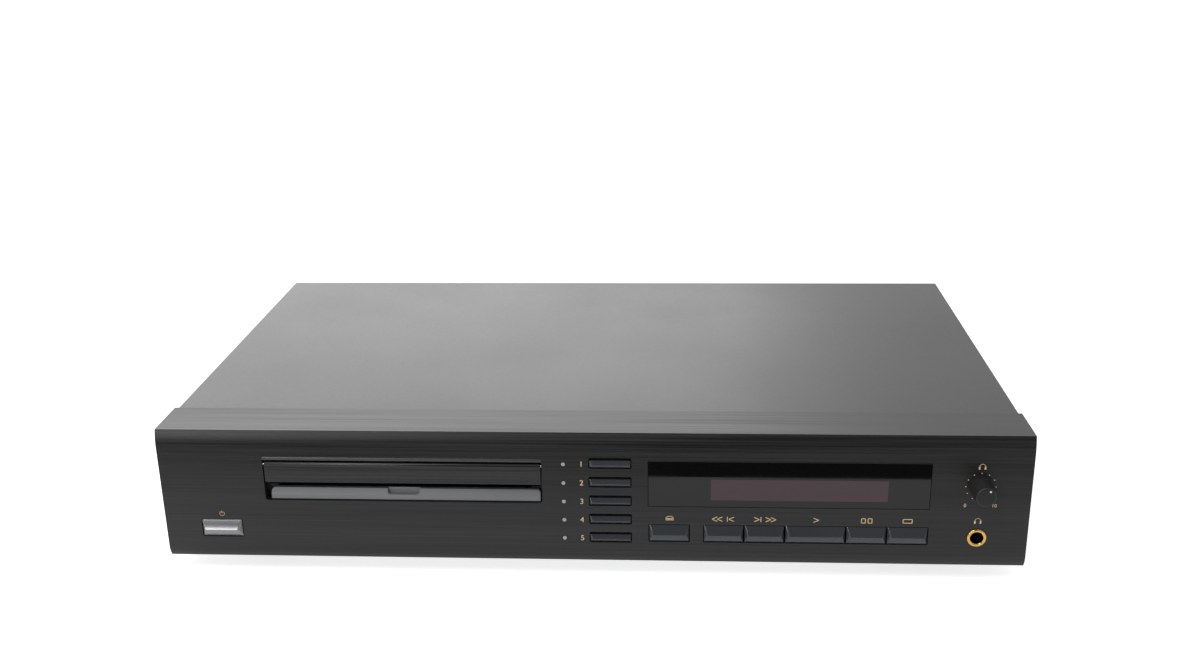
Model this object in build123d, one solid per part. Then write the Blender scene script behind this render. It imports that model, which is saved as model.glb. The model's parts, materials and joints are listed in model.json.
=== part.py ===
from build123d import *
import math
import os

# Multi disc changer, millimetres. While modelling, Y is the distance behind the flat front face
# and Z the height above the panel's bottom edge. save() moves each piece to the final frame,
# whose origin is under the middle of the whole object, with +Z up and the front facing -Y.

os.makedirs("parts", exist_ok=True)

# Casing
PANEL_W = 430.0
PANEL_H = 70.0
PANEL_RETURN = 29.5
PANEL_FOOT_RETURN = 12.0
PANEL_WALL = 3.2
PANEL_SKIN = 2.2
TOP_SETBACK = 1.6
TOP_CURVE = 9.0
BOTTOM_SETBACK = 2.0
BOTTOM_CURVE = 6.0
BODY_DEPTH = 250.0
SHEET = 1.0
BASE_T = 1.2
COVER_DROP = 0.6
COVER_INSET = 0.65
SEAM = 0.3
FIT = 0.3
RUN = 0.06
FOOT_H = 9.0
FOOT_R = 20.0
FOOT_X = PANEL_W / 2 - 45.0
FOOT_FRONT = 38.0
FOOT_REAR = BODY_DEPTH - 35.0
SCREW_R = 1.5
SCREW_HEAD_R = 3.0
SCREW_HEAD_H = 1.8

# Tray opening and what shows in it
OPENING_X = -0.215 * PANEL_W
OPENING_W = 139.4
OPENING_BOTTOM = 32.4
OPENING_TOP = 56.5
OPENING_CORNER = 1.5
TRIM_H = 2.4
DOOR_TOP = 53.2
DOOR_BOTTOM = 42.0
DOOR_T = 2.4
DOOR_GAP = 0.6
DOOR_PIN_R = 0.8
LIP_RECESS = 1.2
LIP_GAP_LEFT = 2.8
LIP_GAP_RIGHT = 1.0
LIP_RIDGE = 35.3
LIP_TOP = 38.4
LIP_SLANT = 1.6
LIP_T = 3.8
NOTCH_W = 16.0
NOTCH_DEPTH = 1.2

# Keys, lamps and display
LAMP_X = OPENING_X + OPENING_W / 2 + 10.65
LAMP_R = 0.95
DISC_KEY_X = LAMP_X + 23.0
DISC_KEY_W = 20.4
DISC_KEY_H = 3.8
DISC_KEY_TOP_Z = 55.6
DISC_KEY_PITCH = 10.1
DISC_KEY_COUNT = 5
DISC_KEY_SLOT = 1.6
KEY_BOTTOM = 11.7
KEY_TOP = 21.5
KEY_RIDGE = 15.4
KEY_OUT = 1.7
KEY_GAP = 0.4
KEY_DEPTH = 6.0
KEY_TRAVEL = 0.8
OPEN_KEY_W = 20.5
PLAY_KEYS_START = 27.3
PLAY_KEY_JOINTS = (0.0, 0.183, 0.365, 0.636, 0.817, 1.0)
POWER_KEY = (-PANEL_W / 2 + 18.4, -PANEL_W / 2 + 39.6)
POWER_TRAVEL = 3.0
WINDOW = (DISC_KEY_X + DISC_KEY_W / 2 + 8.3, PANEL_W / 2 - 48.2)
WINDOW_Z = (31.1, 55.9)
WINDOW_T = 2.0
WINDOW_LEDGE = 2.0
LIT_W = 86.0
LIT_H = 11.2
LIT_X = sum(WINDOW) / 2 + 5.2
LIT_Z = 40.6
OPEN_KEY = (WINDOW[0] + 0.3, WINDOW[0] + 0.3 + OPEN_KEY_W)
PLAY_KEYS_W = WINDOW[1] + 0.2 - WINDOW[0] - PLAY_KEYS_START
TRANSPORT = [WINDOW[0] + PLAY_KEYS_START + joint * PLAY_KEYS_W for joint in PLAY_KEY_JOINTS]

# Headphone level knob and jack
KNOB_X = PANEL_W / 2 - 24.6
KNOB_Z = 43.8
KNOB_R = 6.2
KNOB_NOSE_R = 4.8
KNOB_STANDOUT = 12.0
KNOB_GAP = 0.5
KNOB_SKIRT = 1.2
SHAFT_R = 3.0
JACK_Z = 16.3
JACK_RING_R = 4.7
JACK_BORE_R = 3.25
JACK_RING_OUT = 1.0
JACK_DEPTH = 31.0

# Boards behind the panel
BOARD_T = 1.6
BOARD_Y = 15.0
SWITCH_H = 4.3
SWITCH_SIDE = 6.0
STEM_R = 1.6
STEM_OUT = 1.2

# Disc mechanism
MECH_X = OPENING_X
DISC_R = 60.0
PLAY_Y = 67.0
STORE_Y = 183.2
MECH_FRONT = 5.5
MECH_REAR = 245.6
TRAY_Z = 32.8
TRAY_FLOOR = 1.5
TRAY_TRAVEL = 135.0
RAIL_INNER = OPENING_W / 2 - 6.2
RAIL_OUTER = OPENING_W / 2 - 2.1
RAIL_END = 165.0
RAIL_TOP = 37.0
WALL_INNER = RAIL_OUTER + 0.6
WALL_T = 2.0
CAM_T = 2.0
CAM_GAP = 0.4
GEAR_MODULE = 1.0
DRIVE_TEETH = 20
PINION_TEETH = 12
PRESSURE_ANGLE = 20.0
ADDENDUM = 0.8
DEDENDUM = 1.2
GEAR_BACKLASH = 0.16
DRIVE_Y = 20.0
PULLEY_R = 10.5
MOTOR_PULLEY_R = 3.0
BELT_T = 1.2
CAGE_HALF = RAIL_INNER - 0.9
CAGE_WALL = 1.6
SHELF_PITCH = 5.0
SHELVES = 5
SHELF_W = 6.0
SHELF_T = 1.0
CAGE_BOTTOM = 12.3
CAGE_TRAVEL = 20.0
CAM_SLOPE = 0.8
PIN_R = 2.0
LIFT_TRAVEL = 4.0
LIFT_SLOPE = 0.4
SPINDLE_R = 1.2
TURNTABLE_R = 14.0
SEAT_Z = 31.9
CONE_R = 7.3
CONE_H = 2.1
CLAMPER_R = 15.0
BRIDGE_Z = 42.0

# Rear
JACK_STANDOUT = 10.0
PHONO_R = 4.15
PHONO_COLLAR = 0.5
INLET_PIN_X = 4.3
INLET_PIN_R = 1.15
INLET_MOUTH_R = 4.0

FRONT_Y = (KNOB_STANDOUT - BODY_DEPTH - JACK_STANDOUT) / 2
PANEL_Z = FOOT_H


def save(name, *shapes):
    """Write one node, moved from the front face's frame to the final one."""
    solids = []
    for shape in shapes:
        solids.extend(shape.solids())
    moved = [Pos(0, FRONT_Y, PANEL_Z) * solid for solid in solids]
    whole = moved[0] if len(moved) == 1 else Compound(children=moved)
    export_step(whole, os.path.join("parts", name + ".step"))


def block(x, y, z):
    """A box between three pairs of limits."""
    size = Box(x[1] - x[0], y[1] - y[0], z[1] - z[0])
    return Pos((x[0] + x[1]) / 2, (y[0] + y[1]) / 2, (z[0] + z[1]) / 2) * size


def rod_x(x, y, z, radius):
    """A round bar along X between two limits."""
    return Pos((x[0] + x[1]) / 2, y, z) * Rot(0, 90, 0) * Cylinder(radius, x[1] - x[0])


def rod_y(x, y, z, radius):
    """A round bar along Y between two limits."""
    return Pos(x, (y[0] + y[1]) / 2, z) * Rot(90, 0, 0) * Cylinder(radius, y[1] - y[0])


def rod_z(x, y, z, radius):
    """A round bar along Z between two limits."""
    return Pos(x, y, (z[0] + z[1]) / 2) * Cylinder(radius, z[1] - z[0])


def side_profile(points, x):
    """Extrude a Y-Z outline between two X limits."""
    face = Plane.YZ * make_face(Polyline(*points, close=True))
    return Pos(x[0], 0, 0) * extrude(face, x[1] - x[0])


def panel_section(x):
    """The front panel's outer form: flat face, rolled top edge and tucked bottom edge."""
    top_end = (TOP_SETBACK, PANEL_H)
    face_top = (0, PANEL_H - TOP_CURVE)
    face_bottom = (0, BOTTOM_CURVE)
    bottom_end = (BOTTOM_SETBACK, 0)
    line = (
        Line(face_bottom, face_top)
        + TangentArc(face_top, top_end, tangent=(0, 1))
        + Line(top_end, (PANEL_RETURN, PANEL_H))
        + Line((PANEL_RETURN, PANEL_H), (PANEL_RETURN, 0))
        + Line((PANEL_RETURN, 0), bottom_end)
        + TangentArc(face_bottom, bottom_end, tangent=(0, -1))
    )
    face = Plane.YZ * make_face(line)
    return Pos(x[0], 0, 0) * extrude(face, x[1] - x[0])


def window(x, z, corner=0.0, y=(-1.0, PANEL_WALL + 1.0)):
    """A cutter through the panel's face, with its corners rounded where asked."""
    cut = block(x, y, z)
    if corner:
        cut = fillet(cut.edges().filter_by(Axis.Y), corner)
    return cut


def tray_opening():
    """The cutter for the tray opening, rounded at its lower corners alone."""
    half = OPENING_W / 2
    cut = window((OPENING_X - half, OPENING_X + half), (OPENING_BOTTOM, OPENING_TOP))
    lower = cut.edges().filter_by(Axis.Y).group_by(Axis.Z)[0]
    return fillet(lower, OPENING_CORNER)


def disc_key_z(index):
    """The bottom and top of a disc key, the first at the top."""
    top = DISC_KEY_TOP_Z - index * DISC_KEY_PITCH
    return (top - DISC_KEY_H, top)


def screw(x, y, z, turn, length=8.0):
    """A pan head screw whose head sits on the plane through the point, shank along the turned -Z."""
    shank = Pos(0, 0, -length / 2) * Cylinder(SCREW_R, length)
    head = Pos(0, 0, SCREW_HEAD_H / 2) * Cylinder(SCREW_HEAD_R, SCREW_HEAD_H)
    head = fillet(head.edges().group_by(Axis.Z)[-1], SCREW_HEAD_H * 0.4)
    cross = Box(SCREW_R * 2.4, 0.7, 1.6) + Box(0.7, SCREW_R * 2.4, 1.6)
    return Pos(x, y, z) * turn * (shank + head - Pos(0, 0, SCREW_HEAD_H) * cross)


def hole_z(x, y, z, radius=SCREW_R + 0.1):
    return rod_z(x, y, (z[0] - 1, z[1] + 1), radius)


# Values that several casing pieces share
SIDE_WALL = 2.0
HALF_W = PANEL_W / 2
BASE_HALF = HALF_W - SIDE_WALL - FIT
COVER_HALF = HALF_W - COVER_INSET
COVER_TOP = PANEL_H - COVER_DROP
COVER_BOTTOM = 1.0
COVER_FRONT = PANEL_RETURN + SEAM
COVER_BEND = 1.6
COVER_LIP = 9.0
REAR_Y = (BODY_DEPTH - SHEET - FIT - SHEET, BODY_DEPTH - SHEET - FIT)
REAR_TOP = COVER_TOP - SHEET - FIT
BASE_FRONT = PANEL_FOOT_RETURN + FIT
BASE_FLANGE = 15.0
BASE_REAR = REAR_Y[0] - FIT
SIDE_SCREW_Y = (60.0, BODY_DEPTH - 30.0)
SIDE_SCREW_Z = 8.0
SIDE_SCREW_L = 4.5
REAR_SCREW_X = (-HALF_W + 65.0, 0.0, HALF_W - 65.0)
REAR_SCREW_Z = COVER_TOP - 5.0
BASE_SCREW_X = (-HALF_W + 20.0, -10.0, HALF_W - 20.0)
BASE_SCREW_Z = 6.0
FOOT_PLACES = [(sx * FOOT_X, y) for y in (FOOT_FRONT, FOOT_REAR) for sx in (-1, 1)]
FOOT_HEAD_Z = -3.5
BOSS_R = 3.2
BOSS_X = (WINDOW[0] - 5.4, WINDOW[1] + 5.2, HALF_W - 7.0)
BOSS_Z = (6.5, 62.0)

# The door turns on two stub pins in the ends of the opening
DOOR_AXIS_Y = DOOR_T / 2 + 0.2
DOOR_AXIS_Z = DOOR_TOP - DOOR_T / 2 - 0.1
DOOR_PIN_DEPTH = 3.0

# What the rear panel carries
PHONO_X = (40.0, 62.0)
PHONO_Z = (24.0, 42.0)
OPTICAL_X = 92.0
OPTICAL_Z = 33.0
OPTICAL_SIDE = 10.0
INLET_X = -HALF_W + 25.0
INLET_Z = 30.0
INLET_W = 22.0
INLET_H = 13.0
VENT_COUNT = 9
VENT_PITCH = 6.0
VENT_X = HALF_W - 75.0


def lens(x, y, z, radius, width):
    """A slot with round ends, along X."""
    bar = block((x - width / 2, x + width / 2), y, (z - radius, z + radius))
    return bar + rod_y(x - width / 2, y, z, radius) + rod_y(x + width / 2, y, z, radius)


def front_panel():
    shell = panel_section((-HALF_W, HALF_W))
    inside = (-HALF_W + SIDE_WALL, HALF_W - SIDE_WALL)
    cavity = block(inside, (PANEL_WALL, PANEL_RETURN + 1), (PANEL_SKIN, PANEL_H - PANEL_SKIN))
    open_floor = block(inside, (PANEL_FOOT_RETURN, PANEL_RETURN + 1), (-1, PANEL_SKIN + 1))
    shell = shell - cavity - open_floor
    for x in BOSS_X:
        for z in BOSS_Z:
            shell += rod_y(x, (PANEL_WALL - 0.5, BOARD_Y), z, BOSS_R)
    half = OPENING_W / 2
    pin_ends = (OPENING_X - half - DOOR_PIN_DEPTH, OPENING_X + half + DOOR_PIN_DEPTH)
    shell -= rod_x(pin_ends, DOOR_AXIS_Y, DOOR_AXIS_Z, DOOR_PIN_R + RUN)
    cuts = [tray_opening()]
    key_x = (DISC_KEY_X - DISC_KEY_W / 2 - KEY_GAP, DISC_KEY_X + DISC_KEY_W / 2 + KEY_GAP)
    for index in range(DISC_KEY_COUNT):
        low, high = disc_key_z(index)
        cuts.append(window(key_x, (low - KEY_GAP, high + DISC_KEY_SLOT), 0.9))
        cuts.append(rod_y(LAMP_X, (-1, PANEL_WALL + 1), (low + high) / 2, LAMP_R + RUN))
    for left, right in (OPEN_KEY, (TRANSPORT[0], TRANSPORT[-1]), POWER_KEY):
        cuts.append(window((left, right), (KEY_BOTTOM, KEY_TOP), 0.6))
    cuts.append(window(WINDOW, WINDOW_Z, y=(-1, WINDOW_T)))
    inner_x = (WINDOW[0] + WINDOW_LEDGE, WINDOW[1] - WINDOW_LEDGE)
    cuts.append(window(inner_x, (WINDOW_Z[0] + WINDOW_LEDGE, WINDOW_Z[1] - WINDOW_LEDGE)))
    cuts.append(rod_y(KNOB_X, (-1, PANEL_WALL + 1), KNOB_Z, SHAFT_R + 0.6))
    cuts.append(rod_y(KNOB_X, (-1, PANEL_WALL + 1), JACK_Z, JACK_RING_R + RUN))
    for cut in cuts:
        shell -= cut
    return shell


def top_cover():
    y = (COVER_FRONT, BODY_DEPTH)
    outer = block((-COVER_HALF, COVER_HALF), y, (COVER_BOTTOM, COVER_TOP))
    top_edges = outer.edges().filter_by(Axis.Y).group_by(Axis.Z)[-1]
    outer = fillet(top_edges, COVER_BEND)
    half = COVER_HALF - SHEET
    inner = block((-half, half), (y[0] - 1, BODY_DEPTH - SHEET), (COVER_BOTTOM - 1, COVER_TOP - SHEET))
    below_lip = block((-half, half), (y[0] - 1, BODY_DEPTH + 1), (COVER_BOTTOM - 1, COVER_TOP - COVER_LIP))
    cover = outer - inner - below_lip
    for y_screw in SIDE_SCREW_Y:
        cover -= rod_x((-HALF_W, HALF_W), y_screw, SIDE_SCREW_Z, SCREW_R + 0.1)
    for x in REAR_SCREW_X:
        cover -= rod_y(x, (BODY_DEPTH - 5, BODY_DEPTH + 1), REAR_SCREW_Z, SCREW_R + 0.1)
    return cover


def chassis_base():
    x = (-BASE_HALF, BASE_HALF)
    y = (BASE_FRONT, BASE_REAR)
    base = block(x, y, (0, BASE_T))
    for side in (-1, 1):
        edge = sorted((side * BASE_HALF, side * (BASE_HALF - BASE_T)))
        base += block(edge, y, (0, BASE_FLANGE))
    base += block(x, (BASE_REAR - BASE_T, BASE_REAR), (0, BASE_FLANGE * 0.7))
    for y_screw in SIDE_SCREW_Y:
        base -= rod_x((-HALF_W, HALF_W), y_screw, SIDE_SCREW_Z, SCREW_R + 0.1)
    for fx, fy in FOOT_PLACES:
        base -= hole_z(fx, fy, (0, BASE_T))
    for bx in BASE_SCREW_X:
        base -= rod_y(bx, (BASE_REAR - 5, BASE_REAR + 1), BASE_SCREW_Z, SCREW_R + 0.1)
    return base


def rear_panel():
    x = (-BASE_HALF, BASE_HALF)
    panel = block(x, REAR_Y, (BASE_T, REAR_TOP))
    cuts = [rod_y(bx, (REAR_Y[0] - 1, REAR_Y[1] + 1), BASE_SCREW_Z, SCREW_R + 0.1) for bx in BASE_SCREW_X]
    cuts += [rod_y(rx, (REAR_Y[0] - 1, REAR_Y[1] + 1), REAR_SCREW_Z, SCREW_R + 0.1) for rx in REAR_SCREW_X]
    for px in PHONO_X:
        cuts += [rod_y(px, (REAR_Y[0] - 1, REAR_Y[1] + 1), pz, PHONO_R + 0.5) for pz in PHONO_Z]
    through = (REAR_Y[0] - 1, REAR_Y[1] + 1)
    side = OPTICAL_SIDE / 2 + FIT
    cuts.append(block((OPTICAL_X - side, OPTICAL_X + side), through, (OPTICAL_Z - side, OPTICAL_Z + side)))
    inlet_x = (INLET_X - INLET_W / 2 - FIT, INLET_X + INLET_W / 2 + FIT)
    cuts.append(block(inlet_x, through, (INLET_Z - INLET_H / 2 - FIT, INLET_Z + INLET_H / 2 + FIT)))
    for index in range(VENT_COUNT):
        vent = Pos(VENT_X + index * VENT_PITCH, REAR_Y[0], OPTICAL_Z) * Box(2.4, 6, 26)
        cuts.append(vent)
    for cut in cuts:
        panel -= cut
    return panel


def feet():
    pieces = []
    for fx, fy in FOOT_PLACES:
        cone = Pos(fx, fy, -FOOT_H / 2 + 0.5) * Cone(FOOT_R - 1.5, FOOT_R, FOOT_H - 1)
        cone = fillet(cone.edges().group_by(Axis.Z)[0], 0.8)
        groove = rod_z(fx, fy, (-FOOT_H, -FOOT_H + 2), FOOT_R - 4) - rod_z(fx, fy, (-FOOT_H, 0), FOOT_R - 9)
        well = rod_z(fx, fy, (-FOOT_H, FOOT_HEAD_Z), SCREW_HEAD_R + 1)
        pieces.append(cone - groove - well - hole_z(fx, fy, (FOOT_HEAD_Z, 0)))
    return pieces


def foot_pads():
    pads = []
    for fx, fy in FOOT_PLACES:
        ring = rod_z(fx, fy, (-FOOT_H, -FOOT_H + 2), FOOT_R - 4 - RUN)
        pads.append(ring - rod_z(fx, fy, (-FOOT_H - 1, 0), FOOT_R - 9 + RUN))
    return pads


def case_screws():
    upward = Rot(180, 0, 0)
    screws = [screw(fx, fy, FOOT_HEAD_Z, upward) for fx, fy in FOOT_PLACES]
    for y_screw in SIDE_SCREW_Y:
        screws.append(screw(COVER_HALF, y_screw, SIDE_SCREW_Z, Rot(0, 90, 0), SIDE_SCREW_L))
        screws.append(screw(-COVER_HALF, y_screw, SIDE_SCREW_Z, Rot(0, -90, 0), SIDE_SCREW_L))
    outward = Rot(-90, 0, 0)
    screws += [screw(x, BODY_DEPTH, REAR_SCREW_Z, outward) for x in REAR_SCREW_X]
    screws += [screw(x, REAR_Y[1], BASE_SCREW_Z, outward) for x in BASE_SCREW_X]
    return screws


save("top_cover", top_cover())
save("rear_panel", rear_panel())
save("feet", *feet())
save("foot_pads", *foot_pads())


# The tray opening: a fixed trim bar, the door under it and the lip of the tray
OPENING_HALF = OPENING_W / 2
LIP_X = (OPENING_X - OPENING_HALF + LIP_GAP_LEFT, OPENING_X + OPENING_HALF - LIP_GAP_RIGHT)
LIP_BACK = LIP_RECESS + LIP_T
TRIM_BOTTOM = OPENING_TOP - TRIM_H
TRIM_EAR = 3.0


def tray_trim():
    half = OPENING_HALF - RUN
    top = OPENING_TOP - RUN
    bar = block((OPENING_X - half, OPENING_X + half), (0, PANEL_WALL + 2), (TRIM_BOTTOM, top))
    bar = fillet(bar.edges().filter_by(Axis.X).group_by(Axis.Y)[0], TRIM_H * 0.42)
    ear_y = (PANEL_WALL, PANEL_WALL + 2)
    return bar + block((OPENING_X - half, OPENING_X + half), ear_y, (TRIM_BOTTOM, top + TRIM_EAR))


def tray_door():
    half = OPENING_HALF - DOOR_GAP
    x = (OPENING_X - half, OPENING_X + half)
    front = DOOR_AXIS_Y - DOOR_T / 2
    plate = block(x, (front, front + DOOR_T), (DOOR_BOTTOM, DOOR_AXIS_Z))
    bottom_edges = plate.edges().filter_by(Axis.X).group_by(Axis.Z)[0]
    plate = chamfer(bottom_edges, 0.5)
    return plate + rod_x(x, DOOR_AXIS_Y, DOOR_AXIS_Z, DOOR_T / 2)


def door_pins():
    inner = OPENING_HALF - DOOR_GAP
    outer = OPENING_HALF + DOOR_PIN_DEPTH - FIT
    pins = []
    for side in (-1, 1):
        ends = sorted((OPENING_X + side * inner, OPENING_X + side * outer))
        pins.append(rod_x(ends, DOOR_AXIS_Y, DOOR_AXIS_Z, DOOR_PIN_R))
    return pins


def tray_lip():
    outline = [
        (LIP_RECESS, TRAY_Z),
        (LIP_RECESS, LIP_RIDGE),
        (LIP_RECESS + LIP_SLANT, LIP_TOP),
        (LIP_BACK, LIP_TOP),
        (LIP_BACK, TRAY_Z),
    ]
    lip = side_profile(outline, LIP_X)
    ends = lip.edges().filter_by(Axis.Y).group_by(Axis.Z)[-1]
    lip = chamfer(ends, LIP_SLANT * 0.7)
    notch_x = (OPENING_X - NOTCH_W / 2, OPENING_X + NOTCH_W / 2)
    notch = block(notch_x, (LIP_RECESS - 1, LIP_BACK - 1), (LIP_RIDGE + 0.2, LIP_TOP + 2))
    notch = fillet(notch.edges().filter_by(Axis.Y).group_by(Axis.Z)[0], 1.4)
    return lip - Pos(0, NOTCH_DEPTH - 1, 0) * notch


# Keys
KEY_BACK = 5.0
KEY_FLANGE_Y = (PANEL_WALL + KEY_GAP, KEY_BACK)
KEY_FLANGE = 0.8
KEY_EDGE_Y = 0.3
KEY_BEVEL = 1.8
STEM_TIP_Y = BOARD_Y - SWITCH_H - STEM_OUT
PLUNGER_Y = (KEY_BACK, STEM_TIP_Y - KEY_TRAVEL - 0.1)
PLUNGER_R = 1.5


def key_cap(x, z, ridge, out, edge_y, bevel):
    """A wedge-faced key, hipped at both ends, with a flange behind the panel."""
    outline = [(KEY_BACK, z[0]), (edge_y, z[0]), (-out, ridge), (edge_y, z[1]), (KEY_BACK, z[1])]
    wedge = side_profile(outline, x)
    plan = Polyline(
        (x[0], KEY_BACK),
        (x[0], edge_y),
        (x[0] + bevel, -out),
        (x[1] - bevel, -out),
        (x[1], edge_y),
        (x[1], KEY_BACK),
        close=True,
    )
    hip = Pos(0, 0, z[0] - 1) * extrude(make_face(plan), z[1] - z[0] + 2)
    flange = block(x, KEY_FLANGE_Y, (z[0] - KEY_FLANGE, z[1] + KEY_FLANGE))
    return (wedge & hip) + flange


def plunger(x, z, y=PLUNGER_Y):
    return rod_y(x, (y[0] - 0.5, y[1]), z, PLUNGER_R)


def wide_key(left, right):
    """One key of the lower row, between two ends of a cut-out or joints."""
    x = (left + KEY_GAP, right - KEY_GAP)
    z = (KEY_BOTTOM + KEY_GAP, KEY_TOP - KEY_GAP)
    cap = key_cap(x, z, KEY_RIDGE, KEY_OUT, KEY_EDGE_Y, KEY_BEVEL)
    return cap + plunger((left + right) / 2, (z[0] + z[1]) / 2)


def disc_key(index):
    low, high = disc_key_z(index)
    x = (DISC_KEY_X - DISC_KEY_W / 2, DISC_KEY_X + DISC_KEY_W / 2)
    middle = (low + high) / 2
    cap = key_cap(x, (low, high), middle, 0.5, 0.5, 0.9)
    return cap + plunger(DISC_KEY_X, middle)


KEY_MIDDLE = (KEY_BOTTOM + KEY_TOP) / 2
TRANSPORT_KEYS = ["skip_back_button", "skip_forward_button", "play_button", "pause_button", "stop_button"]
TRANSPORT_SPANS = list(zip(TRANSPORT[:-1], TRANSPORT[1:]))
SWITCH_PLACES = [(DISC_KEY_X, sum(disc_key_z(index)) / 2) for index in range(DISC_KEY_COUNT)]
SWITCH_PLACES += [(sum(span) / 2, KEY_MIDDLE) for span in [OPEN_KEY] + TRANSPORT_SPANS]
POWER_X = sum(POWER_KEY) / 2

# Power switch on its board at the left, worked by a rod from the key
SWITCH_BODY_Y = (44.0, 62.0)
SWITCH_BODY_W = 12.0
ACTUATOR_SIDE = 4.0
ACTUATOR_DEPTH = 10.0
POWER_ROD_R = 1.6


def power_button():
    x = (POWER_KEY[0] + KEY_GAP, POWER_KEY[1] - KEY_GAP)
    z = (KEY_BOTTOM + KEY_GAP, KEY_TOP - KEY_GAP)
    return key_cap(x, z, KEY_RIDGE, KEY_OUT + 0.6, KEY_EDGE_Y, KEY_BEVEL)


def power_rod():
    rod = rod_y(POWER_X, (KEY_BACK, SWITCH_BODY_Y[0] - POWER_TRAVEL - 1), KEY_MIDDLE, POWER_ROD_R)
    half = ACTUATOR_SIDE / 2
    y = (SWITCH_BODY_Y[0] - POWER_TRAVEL - 1, SWITCH_BODY_Y[0] + ACTUATOR_DEPTH - POWER_TRAVEL - 1)
    return rod + block((POWER_X - half, POWER_X + half), y, (KEY_MIDDLE - half, KEY_MIDDLE + half))


def key_switches():
    switches = []
    half = SWITCH_SIDE / 2
    for x, z in SWITCH_PLACES:
        body = block((x - half, x + half), (BOARD_Y - SWITCH_H, BOARD_Y), (z - half, z + half))
        switches.append(body + rod_y(x, (STEM_TIP_Y, BOARD_Y - 1), z, STEM_R))
    return switches


def indicator_lamps():
    lamps = []
    for index in range(DISC_KEY_COUNT):
        z = sum(disc_key_z(index)) / 2
        pipe = rod_y(LAMP_X, (-0.15, BOARD_Y), z, LAMP_R)
        lamps.append(pipe + rod_y(LAMP_X, (PANEL_WALL + 5, BOARD_Y), z, LAMP_R * 1.7))
    return lamps


# Display
WINDOW_GAP = 0.06
TUBE_MARGIN_X = 6.0
TUBE_MARGIN_Z = 4.0
TUBE_T = 6.0
DISPLAY_BOARD_X = (LAMP_X - 5.9, WINDOW[1] + 9.2)
PHONES_BOARD_X = (WINDOW[1] + 12.2, BASE_HALF - BASE_T - FIT)
FRONT_BOARD_Z = (3.0, 66.5)
JACK_BODY_W = 16.0
JACK_BODY_BACK = PANEL_WALL + FIT + JACK_DEPTH


def display_window():
    x = (WINDOW[0] + WINDOW_GAP, WINDOW[1] - WINDOW_GAP)
    pane = block(x, (0, WINDOW_T), (WINDOW_Z[0] + WINDOW_GAP, WINDOW_Z[1] - WINDOW_GAP))
    return chamfer(pane.edges().group_by(Axis.Y)[0], 0.25)


def display_tube():
    half_x = LIT_W / 2 + TUBE_MARGIN_X
    half_z = LIT_H / 2 + TUBE_MARGIN_Z
    y = (BOARD_Y - FIT - TUBE_T, BOARD_Y - FIT)
    tube = block((LIT_X - half_x, LIT_X + half_x), y, (LIT_Z - half_z, LIT_Z + half_z))
    return fillet(tube.edges().group_by(Axis.Y)[0], 0.8)


def front_board(x):
    board = block(x, (BOARD_Y, BOARD_Y + BOARD_T), FRONT_BOARD_Z)
    for bx in BOSS_X:
        for bz in BOSS_Z:
            if x[0] < bx < x[1]:
                board -= rod_y(bx, (BOARD_Y - 1, BOARD_Y + BOARD_T + 1), bz, SCREW_R + 0.1)
    return board


def phones_board():
    board = front_board(PHONES_BOARD_X)
    half = JACK_BODY_W / 2 + FIT
    return board - block((KNOB_X - half, KNOB_X + half), (BOARD_Y - 1, 30), (JACK_Z - half, JACK_Z + half))


def board_screws():
    inward = Rot(-90, 0, 0)
    places = [(bx, bz) for bx in BOSS_X for bz in BOSS_Z]
    return [screw(bx, BOARD_Y + BOARD_T, bz, inward, length=6.0) for bx, bz in places]


def bored_bosses(panel):
    """The panel with a screw hole up the middle of each boss."""
    for bx in BOSS_X:
        for bz in BOSS_Z:
            panel -= rod_y(bx, (BOARD_Y - 6, BOARD_Y + 1), bz, SCREW_R + 0.1)
    return panel


# Headphone jack, level control and knob
POT_R = 8.0
POT_Y = (PANEL_WALL + FIT, BOARD_Y)
KNOB_REAR = -KNOB_GAP


def phones_jack():
    half = JACK_BODY_W / 2
    y = (PANEL_WALL + FIT, JACK_BODY_BACK)
    body = block((KNOB_X - half, KNOB_X + half), y, (JACK_Z - half, JACK_Z + half))
    return body - rod_y(KNOB_X, (0, JACK_BODY_BACK - 3), JACK_Z, JACK_BORE_R)


def jack_ring():
    ring = rod_y(KNOB_X, (-JACK_RING_OUT, PANEL_WALL + FIT), JACK_Z, JACK_RING_R)
    ring = fillet(ring.edges().group_by(Axis.Y)[0], 0.5)
    return ring - rod_y(KNOB_X, (-JACK_RING_OUT - 1, PANEL_WALL + 1), JACK_Z, JACK_BORE_R)


def phones_knob():
    skirt_y = (KNOB_REAR - KNOB_SKIRT, KNOB_REAR)
    nose_y = -KNOB_STANDOUT
    length = skirt_y[0] - nose_y
    taper = Cone(KNOB_R - 0.4, KNOB_NOSE_R, length)
    taper = Pos(KNOB_X, (skirt_y[0] + nose_y) / 2, KNOB_Z) * Rot(90, 0, 0) * taper
    knob = taper + rod_y(KNOB_X, skirt_y, KNOB_Z, KNOB_R)
    knob = fillet(knob.edges().group_by(Axis.Y)[0], 0.6)
    return knob - rod_y(KNOB_X, (nose_y + 3, 0), KNOB_Z, SHAFT_R + 0.02)


def pot_shaft():
    return rod_y(KNOB_X, (-KNOB_STANDOUT + 3, BOARD_Y - 2), KNOB_Z, SHAFT_R)


def level_pot():
    body = rod_y(KNOB_X, POT_Y, KNOB_Z, POT_R)
    return body - rod_y(KNOB_X, (POT_Y[0] - 1, BOARD_Y - 2 + FIT), KNOB_Z, SHAFT_R + RUN)


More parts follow.
